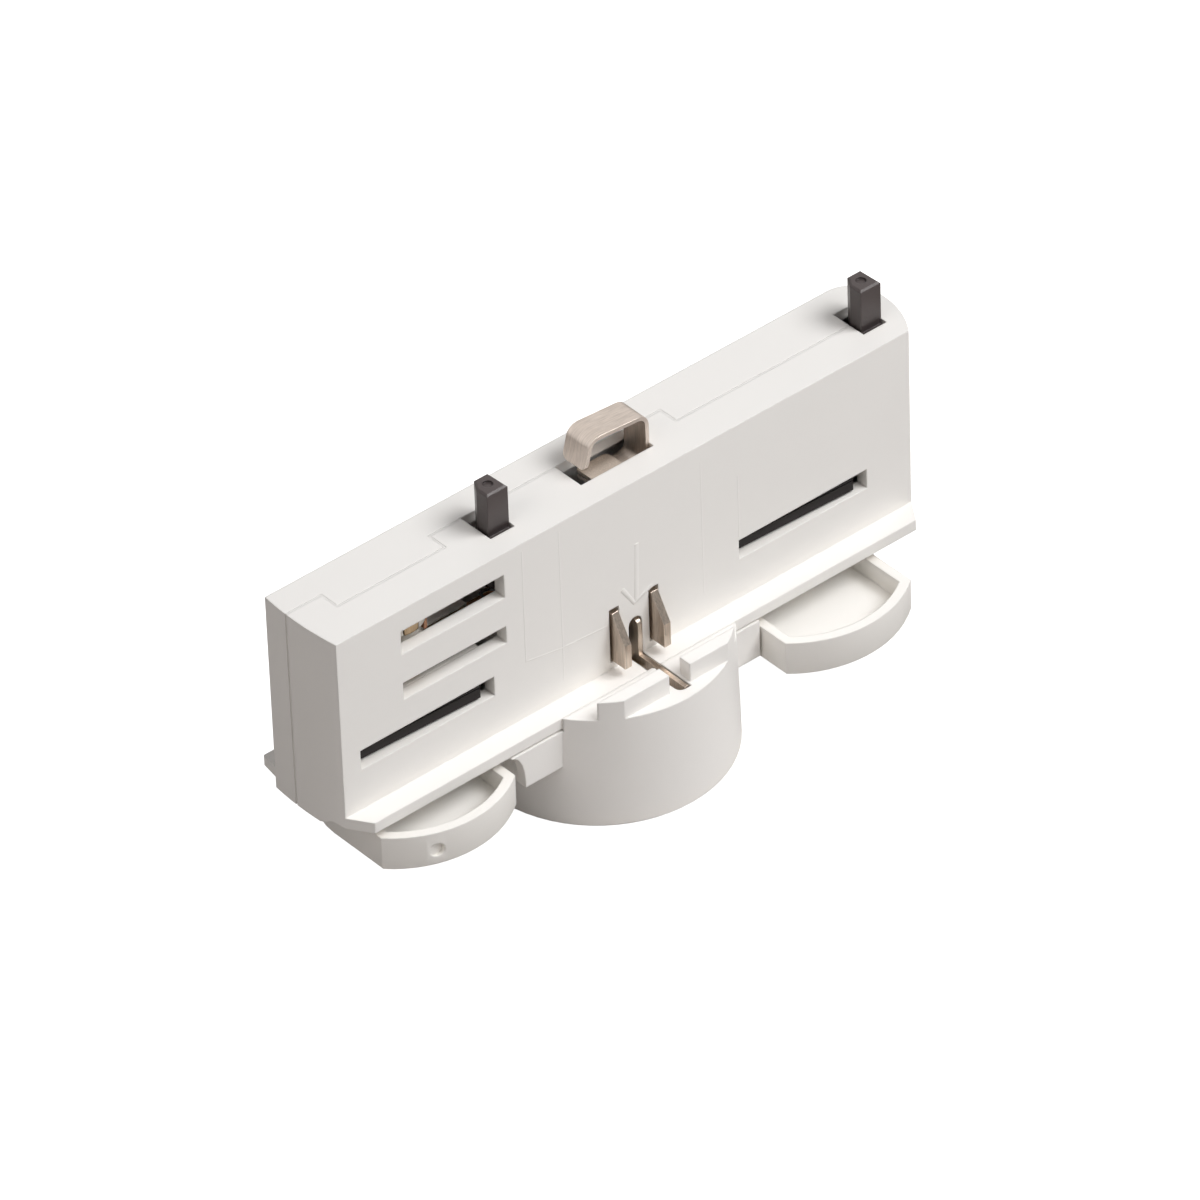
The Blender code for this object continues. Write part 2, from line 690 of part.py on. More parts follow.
def housing_front(parent):
    body = slab("housing_front", front_outline(-BODY_HALF_DEPTH, FRONT_EDGE), FLANGE_LOW, BODY_TOP)
    join(body, slab("flange", flange_outline(-1), FLANGE_LOW, FLANGE_TOP))
    outer = front_outline(-BODY_HALF_DEPTH, FRONT_EDGE)
    inner = front_outline(INNER_FRONT, FRONT_EDGE + MM, WALL)
    join(body, skirt(outer, inner, -BODY_HALF_DEPTH))
    cut(body, slab("cavity", inner, FLANGE_TOP, CAVITY_TOP))
    low, high = -BODY_HALF_DEPTH + FRONT_WALL / 2, FRONT_EDGE
    for axis_x in (AXIS_LEFT, AXIS_RIGHT):
        guide_half = COLLAR_RADIUS + WALL
        join(
            body,
            block(
                "guide",
                (axis_x - guide_half, low, GUIDE_LOW),
                (axis_x + guide_half, high, GUIDE_LOW + GUIDE_THICK),
            ),
        )
        journal = SHAFT_RADIUS + GAP
        cut(body, rod("bore", (axis_x, 0), journal, GUIDE_LOW - MM, GUIDE_LOW + GUIDE_THICK + MM, sides=28))
        cut(body, *shaft_holes(axis_x))
        cut(body, slot_block(axis_x, CAM_SLOT_HALF, CAM_SLOT_HALF, CAM_SLOT_LOW, CAM_SLOT_HEIGHT, -1))
        left, right = tab_span(axis_x)
        cut(
            body,
            block(
                "tab_notch",
                (left - SEAM, TAB_FRONT_Y - SEAM, CAVITY_TOP - MM),
                (right + SEAM, SPLIT_Y + MM, BODY_TOP + MM),
            ),
        )
    cut(body, slot_block(AXIS_LEFT, ARM_SLOT_BACK, ARM_SLOT_REACH, UPPER_SLOT_LOW, UPPER_SLOT_HEIGHT, -1))
    cut(body, slot_block(AXIS_LEFT, ARM_SLOT_BACK, ARM_SLOT_REACH, MIDDLE_SLOT_LOW, MIDDLE_SLOT_HEIGHT, -1))
    boss_top = FLANGE_TOP + FOOT_SCREW_RISE
    foot_screws = [(side * FOOT_SCREW_X, FOOT_SCREW_Y) for side in (-1, 1)]
    for place in housing_screw_places():
        join(body, rod("boss", place, SCREW_BOSS, low, high, "Y", 16))
    for place in foot_screws:
        join(body, rod("boss", place, SCREW_BOSS, FLANGE_LOW + MM, boss_top, sides=16))
    for place in housing_screw_places():
        cut(body, rod("pilot", place, SCREW_RADIUS + GAP, HOUSING_SCREW_TIP - GAP, high + MM, "Y", 12))
    for place in foot_screws:
        pilot_top = boss_top - FLANGE_THICK / 2
        cut(body, rod("pilot", place, SCREW_RADIUS + GAP, FLANGE_LOW - MM, pilot_top, sides=12))
    for x in pin_centres():
        half = PIN_HALF_WIDTH + PIN_SLOT_SIDE
        cut(
            body,
            block(
                "pin_slot",
                (x - half, PIN_SLOT_FRONT_Y, CAVITY_TOP - MM),
                (x + half, SPLIT_Y + MM, BODY_TOP + MM),
            ),
        )
        shelf_half = PIN_SPRING_RADIUS + FRONT_WALL / 2
        shelf_low = PIN_SHELF_TOP - SHELF_THICK
        shelf_right = x + shelf_half
        join(body, block("pin_shelf", (x - shelf_half, low, shelf_low), (shelf_right, high, PIN_SHELF_TOP)))
    cut(
        body,
        block(
            "bow_slot",
            (BOW_LEFT - BOW_SLOT_LEFT_SIDE, BOW_FRONT_Y - BOW_SLOT_FRONT_SIDE, CAVITY_TOP - MM),
            (BOW_RIGHT + BOW_SLOT_RIGHT_SIDE, SPLIT_Y + MM, BODY_TOP + MM),
        ),
    )
    ledge_high = PLATE_LOW - GAP
    join(
        body,
        block(
            "bow_ledge",
            (PLATE_LEFT + GAP, low, ledge_high - BOW_LEDGE_THICK),
            (PLATE_RIGHT - GAP, BOW_FRONT_Y - GAP, ledge_high),
        ),
    )
    bow_middle = bow_centre()[0]
    half = BOW_SPRING_RADIUS + FRONT_WALL / 2
    join(
        body,
        block(
            "bow_shelf",
            (bow_middle - half, low, BOW_SHELF_TOP - SHELF_THICK),
            (bow_middle + half, high, BOW_SHELF_TOP),
        ),
    )
    wall_front, wall_back = -BODY_HALF_DEPTH - MM, INNER_FRONT + GAP
    for x in (CLAW_LEFT, CLAW_RIGHT):
        cut(
            body,
            block(
                "claw_slot",
                (x - GAP, wall_front, CLAW_LOW - GAP),
                (x + CLAW_THICK + GAP, wall_back, CLAW_TOP + 2 * GAP),
            ),
        )
    slot_right = STRIP_LEFT + STRIP_THICK + GAP
    radius = (slot_right - TONGUE_SLOT_LEFT) / 2
    arch = [
        (slot_right - radius + radius * cos(angle), TONGUE_SLOT_TOP - radius + radius * sin(angle))
        for angle in spread(0.0, pi, 8)
    ]
    outline = [(TONGUE_SLOT_LEFT, FLANGE_TOP), (slot_right, FLANGE_TOP), *arch]
    cut(body, slab("tongue_slot", outline, wall_front, wall_back, "Y"))
    cut(
        body,
        block(
            "flange_notch",
            (NOTCH_LEFT, -FLANGE_REACH - MM, FLANGE_LOW - MM),
            (slot_right, INNER_FRONT, FLANGE_TOP + MM),
        ),
    )
    cut(body, rod("wire_hole", (0, 0), WIRE_HOLE, FLANGE_LOW - MM, FLANGE_TOP + MM))
    return finish(body, "housing_front", "white_housing", parent)


def housing_rear(parent):
    outer = rear_outline(REAR_EDGE, BODY_HALF_DEPTH)
    inner = rear_outline(REAR_EDGE - MM, INNER_REAR, WALL)
    body = slab("housing_rear", outer, FLANGE_LOW, BODY_TOP)
    join(body, slab("flange", flange_outline(1), FLANGE_LOW, FLANGE_TOP))
    join(body, skirt(outer, inner, REAR_EDGE))
    cut(body, slab("cavity", inner, FLANGE_TOP, CAVITY_TOP))
    for axis_x in (AXIS_LEFT, AXIS_RIGHT):
        left, right = tab_span(axis_x)
        join(body, block("tab", (left, TAB_FRONT_Y, CAVITY_TOP), (right, REAR_EDGE + WALL, BODY_TOP)))
        cut(body, *shaft_holes(axis_x))
        cut(body, slot_block(axis_x, CAM_SLOT_HALF, CAM_SLOT_HALF, CAM_SLOT_LOW, CAM_SLOT_HEIGHT, 1))
    cut(body, slot_block(AXIS_LEFT, ARM_SLOT_REACH, ARM_SLOT_BACK, MIDDLE_SLOT_LOW, MIDDLE_SLOT_HEIGHT, 1))
    for x, z in housing_screw_places():
        join(body, rod("boss", (x, z), SCREW_BOSS, REAR_EDGE, BODY_HALF_DEPTH - WALL / 2, "Y", 16))
        cut(body, rod("hole", (x, z), SCREW_RADIUS + GAP, SPLIT_Y - MM, BODY_HALF_DEPTH + MM, "Y", 12))
        seat = BODY_HALF_DEPTH - SCREW_HEAD_THICK - GAP
        cut(body, rod("counterbore", (x, z), SCREW_HEAD + GAP, seat, BODY_HALF_DEPTH + MM, "Y", 16))
    cut(body, rod("wire_hole", (0, 0), WIRE_HOLE, FLANGE_LOW - MM, FLANGE_TOP + MM))
    return finish(body, "housing_rear", "white_housing", parent)


def stop_blocks():
    """The two blocks beside the foot that the levers stop against."""
    top = FOOT_SEAT + MM
    left = block("stop", (STOP_LEFT_OUTER, -STOP_FRONT, STOP_LOW), (-STOP_INNER, -STOP_BACK, top))
    flare = [
        (
            STOP_LEFT_OUTER - GUSSET_FLARE * (1 - cos(angle)),
            FOOT_SEAT - GUSSET_HEIGHT * (1 - sin(angle)),
        )
        for angle in spread(pi / 10, pi / 2, 4)
    ]
    gusset = [
        (STOP_LEFT_OUTER + MM, FOOT_SEAT - GUSSET_HEIGHT),
        (STOP_LEFT_OUTER, FOOT_SEAT - GUSSET_HEIGHT),
        *flare,
        (STOP_LEFT_OUTER - GUSSET_FLARE, top),
        (STOP_LEFT_OUTER + MM, top),
    ]
    join(left, slab("gusset", gusset, -STOP_FRONT, -STOP_FRONT + WALL, "Y"))
    right = block("stop", (STOP_INNER, -STOP_FRONT, STOP_LOW), (STOP_RIGHT_OUTER, -STOP_BACK, top))
    return left, right


def foot(parent):
    wall = FOOT_RADIUS - FOOT_WALL
    roof_low = FOOT_SEAT - FOOT_ROOF
    bore = BUSH_RADIUS + GAP
    profile = [
        (FOOT_TOP_RADIUS, FOOT_TOP),
        (FOOT_RADIUS, FOOT_EDGE),
        (FOOT_RADIUS - FOOT_EDGE, 0.0),
        (wall, 0.0),
        (wall - FOOT_EDGE, roof_low),
        (BOSS_RADIUS, roof_low),
        (BOSS_RADIUS, BOSS_LOW),
        (bore, BOSS_LOW),
        (bore, FOOT_TOP),
    ]
    body = turned("foot", (0, 0), profile, 64)
    for stop in stop_blocks():
        cut(stop, rod("inside", (0, 0), wall + WALL / 2, STOP_LOW - MM, FOOT_TOP, sides=64))
        join(body, stop)
    channel = FLANGE_REACH + GAP
    cut(body, block("channel", (-FAR, -channel, FOOT_SEAT), (FAR, channel, FOOT_TOP + MM)))
    for count in range(RIB_COUNT):
        rib = block(
            "rib",
            (BOSS_RADIUS - GAP / 2, -RIB_THICK / 2, RIB_LOW),
            (wall + MM, RIB_THICK / 2, roof_low + MM),
        )
        rib.data.transform(Matrix.Rotation(2 * pi * (count + 0.5) / RIB_COUNT, 4, "Z"))
        join(body, rib)
    top_ring = rod("round", (0, 0), FOOT_TOP_RADIUS, FOOT_TOP - MM, FOOT_TOP + KERB_HEIGHT, sides=64)
    kerb_inner = KERB_OUTER - KERB_THICK
    kerb_low, kerb_high = FOOT_TOP - MM, FOOT_TOP + 2 * KERB_HEIGHT
    kerbs = block("kerb", (-FAR, -KERB_OUTER, kerb_low), (FAR, -kerb_inner, kerb_high))
    join(kerbs, block("kerb", (-FAR, kerb_inner, kerb_low), (FAR, KERB_OUTER, kerb_high)))
    join(body, overlap(kerbs, top_ring))
    cut(
        body,
        block(
            "kerb_gap",
            (KERB_GAP_LEFT, -FOOT_RADIUS, FOOT_TOP),
            (KERB_GAP_RIGHT, -FLANGE_REACH, FOOT_TOP + 2 * KERB_HEIGHT),
        ),
    )
    strip_low = FOOT_TOP - STRIP_DEPTH - GAP
    cut(
        body,
        block(
            "strip_slot",
            (STRIP_LEFT - GAP, -STRIP_REACH - GAP, strip_low),
            (STRIP_LEFT + STRIP_THICK + GAP, -FLANGE_REACH, FOOT_TOP + MM),
        ),
    )
    pocket_front = -STRIP_REACH - GAP
    corner = [
        (
            POCKET_LEFT + POCKET_ROUND * (1 - cos(angle)),
            pocket_front + POCKET_ROUND * (1 - sin(angle)),
        )
        for angle in spread(0.0, pi / 2, 4)
    ]
    pocket = [(STRIP_LEFT, -POCKET_BACK), (POCKET_LEFT, -POCKET_BACK), *corner, (STRIP_LEFT, pocket_front)]
    cut(body, slab("pocket", pocket, strip_low, FOOT_TOP + MM))
    hex_low = FOOT_SEAT - GAP - BUSH_HEAD_THICK - GAP
    cut(body, hexagon("hex_pocket", (0, 0), BUSH_HEAD_FLATS + 2 * GAP, hex_low, FOOT_SEAT + MM))
    for side in (-1, 1):
        place = (side * FOOT_SCREW_X, FOOT_SCREW_Y)
        cut(body, rod("hole", place, SCREW_RADIUS + GAP, roof_low - MM, FOOT_SEAT + MM, sides=12))
    return finish(body, "foot", "white_foot", parent)


def lever_outline(axis_x, arc_x, arc_y, radius, out, inner, inset=0.0):
    """A lever seen from above: straight sides, a wide arc in front and a round back."""
    left, right = axis_x - out + inset, axis_x + inner - inset
    centre = (axis_x + arc_x, arc_y)
    reach = radius - inset
    first = atan2(-sqrt(reach**2 - (left - centre[0]) ** 2), left - centre[0])
    last = atan2(-sqrt(reach**2 - (right - centre[0]) ** 2), right - centre[0])
    front = [
        (centre[0] + reach * cos(angle), centre[1] + reach * sin(angle))
        for angle in spread(first, last, 16)
    ]
    back_radius = (right - left) / 2
    back = [
        ((left + right) / 2 + back_radius * cos(angle), back_radius * sin(angle))
        for angle in spread(0.0, pi, 18)
    ]
    return front + back


def lever_dimple():
    """A small round recess in the left lever's curved wall."""
    centre_x, centre_y = AXIS_LEFT + LEFT_ARC_X, LEFT_ARC_Y
    x = AXIS_LEFT + DIMPLE_X
    face = centre_y - sqrt(LEFT_ARC_RADIUS**2 - (x - centre_x) ** 2)
    return rod("dimple", (x, LEVER_LOW + DIMPLE_RISE), DIMPLE_RADIUS, face - MM, face + DIMPLE_DEPTH, "Y", 20)


def lever(name, axis_x, shape, parent):
    outline = lever_outline(axis_x, *shape)
    body = slab(name, outline, LEVER_LOW, LEVER_TOP)
    round_edges(body, LEVER_EDGE, lambda middle, edge: middle.z < LEVER_LOW + WELD)
    floor = LEVER_TOP - LEVER_RECESS
    cut(body, slab("recess", lever_outline(axis_x, *shape, LEVER_RIM), floor, LEVER_TOP + MM))
    hub_top = FLANGE_LOW - GAP
    join(body, rod("hub", (axis_x, 0), LEVER_HUB, floor - MM, hub_top, sides=32))
    key = KEY_WIDTH / 2 + GAP
    key_low = hub_top - KEY_DEPTH - GAP
    cut(body, block("key", (axis_x - key, -key, key_low), (axis_x + key, key, hub_top + MM)))
    cut(body, rod("hole", (axis_x, 0), SCREW_RADIUS + GAP, LEVER_LOW - MM, hub_top, sides=16))
    head_top = LEVER_LOW + SCREW_HEAD_THICK + 2 * GAP
    cut(body, rod("head", (axis_x, 0), LEVER_SCREW_HEAD + GAP, LEVER_LOW - MM, head_top, sides=24))
    if axis_x == AXIS_LEFT:
        cut(body, lever_dimple())
    return finish(body, name, "white_lever", parent)


def lever_screw(name, axis_x, parent):
    head_low = LEVER_LOW + GAP
    head_top = head_low + SCREW_HEAD_THICK
    tip = FLANGE_TOP
    profile = [
        (SCREW_RADIUS, tip),
        (SCREW_RADIUS, head_top),
        (LEVER_SCREW_HEAD, head_top),
        (LEVER_SCREW_HEAD, head_low),
    ]
    body = turned_solid(name, (axis_x, 0), profile, 20)
    cross_cut(body, (axis_x, 0), head_low, -1)
    return finish(body, name, "steel", parent)


def cross_cut(body, place, face, side, axis="Z"):
    """A cross recess in a screw head; side is the way out of the head."""
    low, high = sorted((face + side * MM, face - side * CROSS_DEPTH))
    for width, height in ((CROSS_REACH, CROSS_HALF), (CROSS_HALF, CROSS_REACH)):
        first = (place[0] - width, place[1] - height)
        last = (place[0] + width, place[1] + height)
        if axis == "Z":
            bar = block("bar", (*first, low), (*last, high))
        else:
            bar = block("bar", (first[0], low, first[1]), (last[0], high, last[1]))
        cut(body, bar)
    return body


def lock_cam(name, axis_x, parent):
    """A plate with two noses; the near corner of each is round, so that it rides into the track."""
    low = CAM_SLOT_LOW + (CAM_SLOT_HEIGHT - CAM_THICK) / 2
    slope = (CAM_FRONT_NEAR - CAM_FRONT_FAR) / (2 * CAM_REACH)

    def half_outline(inset):
        reach = CAM_REACH - inset
        radius = CAM_ROUND - inset

        def front(x):
            return -(CAM_FRONT_FAR + slope * (x + CAM_REACH)) + inset

        flat = CAM_FLAT_REACH - inset
        start = atan2(front(flat), flat)
        stop = acos(reach / radius)
        arc = [(radius * cos(angle), radius * sin(angle)) for angle in spread(start, -stop, 6)]
        return [(-reach, front(-reach))] + arc

    def outline(inset):
        half = half_outline(inset)
        other = [(-x, -y) for x, y in half]
        return [(axis_x + x, y) for x, y in half + other]

    groove_low = low + CAM_GROOVE_RISE
    groove_high = groove_low + CAM_GROOVE
    body = slab(name, outline(0.0), low, low + CAM_THICK)
    ring = slab("ring", outline(-MM), groove_low, groove_high)
    cut(ring, slab("core", outline(CAM_GROOVE), groove_low - MM, groove_high + MM))
    cut(body, ring)
    key = SQUARE_WIDTH / 2 + GAP
    cut(body, block("square", (axis_x - key, -key, low - MM), (axis_x + key, key, low + CAM_THICK + MM)))
    return finish(body, name, "black_plastic", parent)


def shaft_core(name, axis_x):
    """What both shafts share: key, journal, cam square, spool and top pivot."""
    key = KEY_WIDTH / 2
    square = SQUARE_WIDTH / 2
    key_low = FLANGE_LOW - GAP - KEY_DEPTH
    square_low = CAM_SLOT_LOW - SQUARE_BELOW
    spool_low = CAM_SLOT_LOW + CAM_SLOT_HEIGHT + SQUARE_BELOW
    top = CAVITY_TOP - GAP
    body = block(name, (axis_x - key, -key, key_low), (axis_x + key, key, FLANGE_TOP))
    join(body, rod("journal", (axis_x, 0), SHAFT_RADIUS, FLANGE_LOW - GAP / 2, square_low + MM, sides=28))
    square_low_corner = (axis_x - square, -square, square_low)
    join(body, block("square", square_low_corner, (axis_x + square, square, spool_low + MM)))
    spool = [
        (PIVOT_RADIUS, CAVITY_TOP + PIVOT_DEPTH),
        (PIVOT_RADIUS, top),
        (COLLAR_RADIUS, top),
        (COLLAR_RADIUS, top - COLLAR_THICK),
        (ROTOR_RADIUS, top - COLLAR_THICK),
        (ROTOR_RADIUS, spool_low + COLLAR_THICK),
        (COLLAR_RADIUS, spool_low + COLLAR_THICK),
        (COLLAR_RADIUS, spool_low),
    ]
    join(body, turned_solid("spool", (axis_x, 0), spool, 32))
    pilot_top = FLANGE_TOP + GAP
    cut(body, rod("pilot", (axis_x, 0), SCREW_RADIUS + GAP, key_low - MM, pilot_top, sides=16))
    return body


def arm_outline(axis_x, side, reach):
    """A contact arm in plan, narrow at its root, with a round tip on the shaft's own circle."""
    tip = acos(sqrt(reach**2 - ARM_HALF_WIDTH**2) / reach)
    arc = [(side * reach * cos(angle), side * reach * sin(angle)) for angle in spread(-tip, tip, 4)]
    root = side * ARM_ROOT
    half = side * ARM_HALF_WIDTH
    return [(axis_x + x, y) for x, y in [(root, -half)] + arc + [(root, half)]]


def arm_levels():
    inset = 2 * GAP
    return {
        "upper": (UPPER_SLOT_LOW + inset, UPPER_SLOT_LOW + UPPER_SLOT_HEIGHT - inset),
        "middle": (MIDDLE_SLOT_LOW + GAP, MIDDLE_SLOT_LOW + MIDDLE_SLOT_HEIGHT - GAP),
    }


def contact_pocket(side, reach, level):
    """The slot along an arm's middle that holds its contact leaf."""
    low, high = level
    start = AXIS_LEFT + side * (reach - CONTACT_LENGTH - GAP)
    end = AXIS_LEFT + side * (reach + MM)
    half = CONTACT_THICK / 2 + GAP
    left, right = sorted((start, end))
    return block("pocket", (left, -half, low - MM), (right, half, high + MM))


def contact_rotor(parent):
    body = shaft_core("contact_rotor", AXIS_LEFT)
    levels = arm_levels()
    low, high = levels["middle"]
    join(body, slab("arm", arm_outline(AXIS_LEFT, 1, ARM_REACH), low, high))
    join(body, slab("arm", arm_outline(AXIS_LEFT, -1, NEUTRAL_REACH), low, high))
    cut(body, contact_pocket(1, ARM_REACH, levels["middle"]))
    cut(body, contact_pocket(-1, NEUTRAL_REACH, levels["middle"]))
    low, high = levels["upper"]
    half = ARM_HALF_WIDTH + GAP
    seat = (AXIS_LEFT + SHAFT_RADIUS, -half, low - GAP)
    cut(body, block("carrier_seat", seat, (AXIS_LEFT + 2 * COLLAR_RADIUS, half, high + GAP)))
    return finish(body, "contact_rotor", "white_rotor", parent)


def contact_carrier(parent):
    levels = arm_levels()
    low, high = levels["upper"]
    body = slab("contact_carrier", arm_outline(AXIS_LEFT, 1, ARM_REACH), low, high)
    root = AXIS_LEFT + SHAFT_RADIUS + GAP
    side = 2 * ARM_HALF_WIDTH
    cut(body, block("root", (AXIS_LEFT - MM, -side, low - MM), (root, side, high + MM)))
    cut(body, contact_pocket(1, ARM_REACH, levels["upper"]))
    return finish(body, "contact_carrier", "black_plastic", parent)


def contact_leaf(name, side, reach, level, parent):
    """A bronze leaf in the arm's slot; its bent nose lies at the arm's tip."""
    low, high = level
    start = AXIS_LEFT + side * (reach - CONTACT_LENGTH)
    nose = AXIS_LEFT + side * (reach - CONTACT_THICK)
    left, right = sorted((start, nose))
    half = CONTACT_THICK / 2
    body = block(name, (left, -half, low), (right, half, high))
    return finish(body, name, "bronze", parent)


def lock_shaft(parent):
    return finish(shaft_core("lock_shaft", AXIS_RIGHT), "lock_shaft", "white_rotor", parent)


def pin_outline(x, grow=0.0):
    half = PIN_HALF_WIDTH + grow
    return [
        (x - half, PIN_FRONT_Y - grow),
        (x + half, PIN_FRONT_Y - grow),
        (x + half - PIN_TAPER / 6, PIN_BACK_Y + grow),
        (x - half + PIN_TAPER, PIN_BACK_Y + grow),
        (x - half, PIN_TAPER_Y + grow),
    ]


def interlock_pin(name, x, parent):
    top = BODY_TOP + PIN_RISE
    collar_low = PIN_COLLAR_LOW
    body = slab(name, pin_outline(x), collar_low + MM, top)
    round_edges(body, PIN_TOP_BEVEL, lambda middle, edge: middle.z > top - WELD, 1)
    join(body, slab("collar", pin_outline(x, PIN_COLLAR), collar_low, CAVITY_TOP - GAP))
    step_low = (x - PIN_HALF_WIDTH, PIN_FRONT_Y - PIN_STEP, collar_low + MM)
    step_high = (x + PIN_HALF_WIDTH, PIN_FRONT_Y + PIN_STEP, BODY_TOP - PIN_STEP_DROP)
    join(body, block("step", step_low, step_high))
    middle_y = (PIN_FRONT_Y + PIN_BACK_Y) / 2
    stem_low = collar_low - PIN_STEM_LENGTH
    join(body, rod("stem", (x, middle_y), PIN_STEM_RADIUS, stem_low, collar_low + MM, sides=16))
    cut(body, rod("dimple", (x, middle_y), PIN_DIMPLE, top - GAP, top + MM, sides=16))
    return finish(body, name, "black_plastic", parent)


def pin_spring(name, x, parent):
    middle_y = (PIN_FRONT_Y + PIN_BACK_Y) / 2
    high = PIN_COLLAR_LOW - GAP
    low = PIN_SHELF_TOP + GAP
    body = coil(name, (x, middle_y), PIN_SPRING_RADIUS, low, high, PIN_SPRING_TURNS, SPRING_WIRE)
    return finish(body, name, "spring_steel", parent)


def bow_path():
    """The bow's middle line seen from the front, from its free left end to its base's end."""
    half = BOW_THICK / 2
    left, right = BOW_LEFT + half, BOW_RIGHT - half
    top_left = BODY_TOP + BOW_RISE_LEFT - half
    top_right = BODY_TOP + BOW_RISE_RIGHT - half
    shoulder_width = BOW_SHOULDER - BOW_LEAN
    shoulder = [
        (
            left + BOW_SHOULDER - shoulder_width * cos(angle),
            top_left - BOW_SHOULDER_DROP * (1 - sin(angle)),
        )
        for angle in spread(0.0, pi / 2, 4)
    ]
    corner = [
        (right - BOW_CORNER * (1 - sin(angle)), top_right - BOW_CORNER * (1 - cos(angle)))
        for angle in spread(0.0, pi / 2, 5)
    ]
    bend = [
        (right - BOW_BEND * (1 - cos(angle)), BOW_BASE_Z + BOW_BEND * (1 - sin(angle)))
        for angle in spread(0.0, pi / 2, 4)
    ]
    return [(left, BODY_TOP + BOW_FREE_RISE), *shoulder, *corner, *bend, (right - BOW_BASE, BOW_BASE_Z)]


def earth_bow(parent):
    """A loop of strip: a base under the roof, a leg up, the top, and a free leg at the left."""
    body = sheet("earth_bow", bow_path(), BOW_FRONT_Y, BOW_BACK_Y, BOW_THICK, "Y")

    def free_corner(middle, edge):
        at_end = middle.x < BOW_LEFT + BOW_LEAN and middle.z < BODY_TOP + BOW_FREE_RISE + BOW_THICK
        return at_end and edge.calc_length() < 2 * BOW_THICK

    round_edges(body, BOW_END_ROUND, free_corner, 3)
    return finish(body, "earth_bow", "nickel", parent)


def earth_bow_plate(parent):
    """The plate under the roof that the bow's base comes up against."""
    high = PLATE_LOW + PLATE_THICK
    body = block("earth_bow_plate", (PLATE_LEFT, PLATE_FRONT_Y, PLATE_LOW), (PLATE_RIGHT, FRONT_EDGE, high))

    def right_corner(middle, edge):
        return middle.x > PLATE_RIGHT - WELD and abs(edge.verts[0].co.z - edge.verts[1].co.z) > WELD

    round_edges(body, PLATE_ROUND, right_corner, 3)
    return finish(body, "earth_bow_plate", "nickel", parent)


def bow_spring(parent):
    high = BOW_BASE_Z - BOW_THICK / 2 - GAP
    low = BOW_SHELF_TOP + GAP
    body = coil("bow_spring", bow_centre(), BOW_SPRING_RADIUS, low, high, BOW_SPRING_TURNS, SPRING_WIRE)
    return finish(body, "bow_spring", "spring_steel", parent)


def earth_claws(parent):
    """One folded sheet: a web inside the housing and two claws out through the face."""
    back = CLAW_WEB_Y + CLAW_THICK
    side = [
        (-CLAW_REACH, CLAW_LOW),
        (-CLAW_REACH, CLAW_KNEE),
        (-CLAW_SHOULDER, CLAW_TOP),
        (back, CLAW_TOP),
        (back, CLAW_LOW),
    ]
    body = slab("earth_claws", side, CLAW_LEFT, CLAW_LEFT + CLAW_THICK, "X")
    join(body, slab("claw", side, CLAW_RIGHT, CLAW_RIGHT + CLAW_THICK, "X"))
    web_high = CLAW_TOP - CLAW_THICK
    join(
        body,
        block(
            "web",
            (CLAW_LEFT + CLAW_THICK / 2, CLAW_WEB_Y, CLAW_LOW + CLAW_THICK),
            (CLAW_RIGHT + CLAW_THICK / 2, back, web_high),
        ),
    )
    return finish(body, "earth_claws", "nickel", parent)


def earth_strip(parent):
    """The strip that lies on edge in the foot, with its upright tongue in the face."""
    low = FOOT_TOP - STRIP_DEPTH
    radius = (TONGUE_FRONT - TONGUE_BACK) / 2
    middle = -(TONGUE_FRONT + TONGUE_BACK) / 2
    head = [
        (middle + radius * cos(angle), TONGUE_TOP - radius + radius * sin(angle))
        for angle in spread(0.0, pi, 8)
    ]
    outline = [
        (-STRIP_REACH, low),
        (-FLANGE_REACH - GAP, low),
        (-FLANGE_REACH - GAP, FLANGE_LOW + GAP),
        (-TONGUE_BACK, FLANGE_LOW + GAP),
        *head,
        (-TONGUE_FRONT, FOOT_TOP),
        (-STRIP_REACH, FOOT_TOP),
    ]
    body = slab("earth_strip", outline, STRIP_LEFT, STRIP_LEFT + STRIP_THICK, "X")
    return finish(body, "earth_strip", "nickel", parent)


def terminal(name, corner, parent):
    left, low = corner
    front = INNER_FRONT + GAP
    top = low + TERMINAL_HEIGHT
    body = block(name, (left, front, low), (left + TERMINAL_WIDTH, front + TERMINAL_DEPTH, top))
    x = left + TERMINAL_WIDTH / 2
    y = front + TERMINAL_DEPTH / 2
    cut(body, rod("wire", (x, y), TERMINAL_BORE, low - MM, low + TERMINAL_WIRE_DEPTH, sides=16))
    z = low + TERMINAL_HEIGHT / 2
    cut(body, rod("thread", (x, z), SCREW_RADIUS + GAP, y, front + TERMINAL_DEPTH + MM, "Y", 12))
    return finish(body, name, "brass", parent)


def terminal_screw(name, corner, parent):
    face = INNER_FRONT + GAP + TERMINAL_DEPTH
    place = (corner[0] + TERMINAL_WIDTH / 2, corner[1] + TERMINAL_HEIGHT / 2)
    head_low = face + GAP
    head_high = head_low + SCREW_HEAD_THICK
    tip = face - TERMINAL_DEPTH / 2 + 2 * GAP
    screw = rod(name, place, SCREW_RADIUS, tip, head_low + GAP, "Y", 12)
    join(screw, rod("head", place, TERMINAL_SCREW_HEAD, head_low, head_high, "Y", 16))
    cut(
        screw,
        block(
            "slot",
            (place[0] - SCREW_HEAD, head_high - SCREW_HEAD_THICK / 2, place[1] - SCREW_SLOT_HALF),
            (place[0] + SCREW_HEAD, head_high + MM, place[1] + SCREW_SLOT_HALF),
        ),
    )
    return finish(screw, name, "steel", parent)


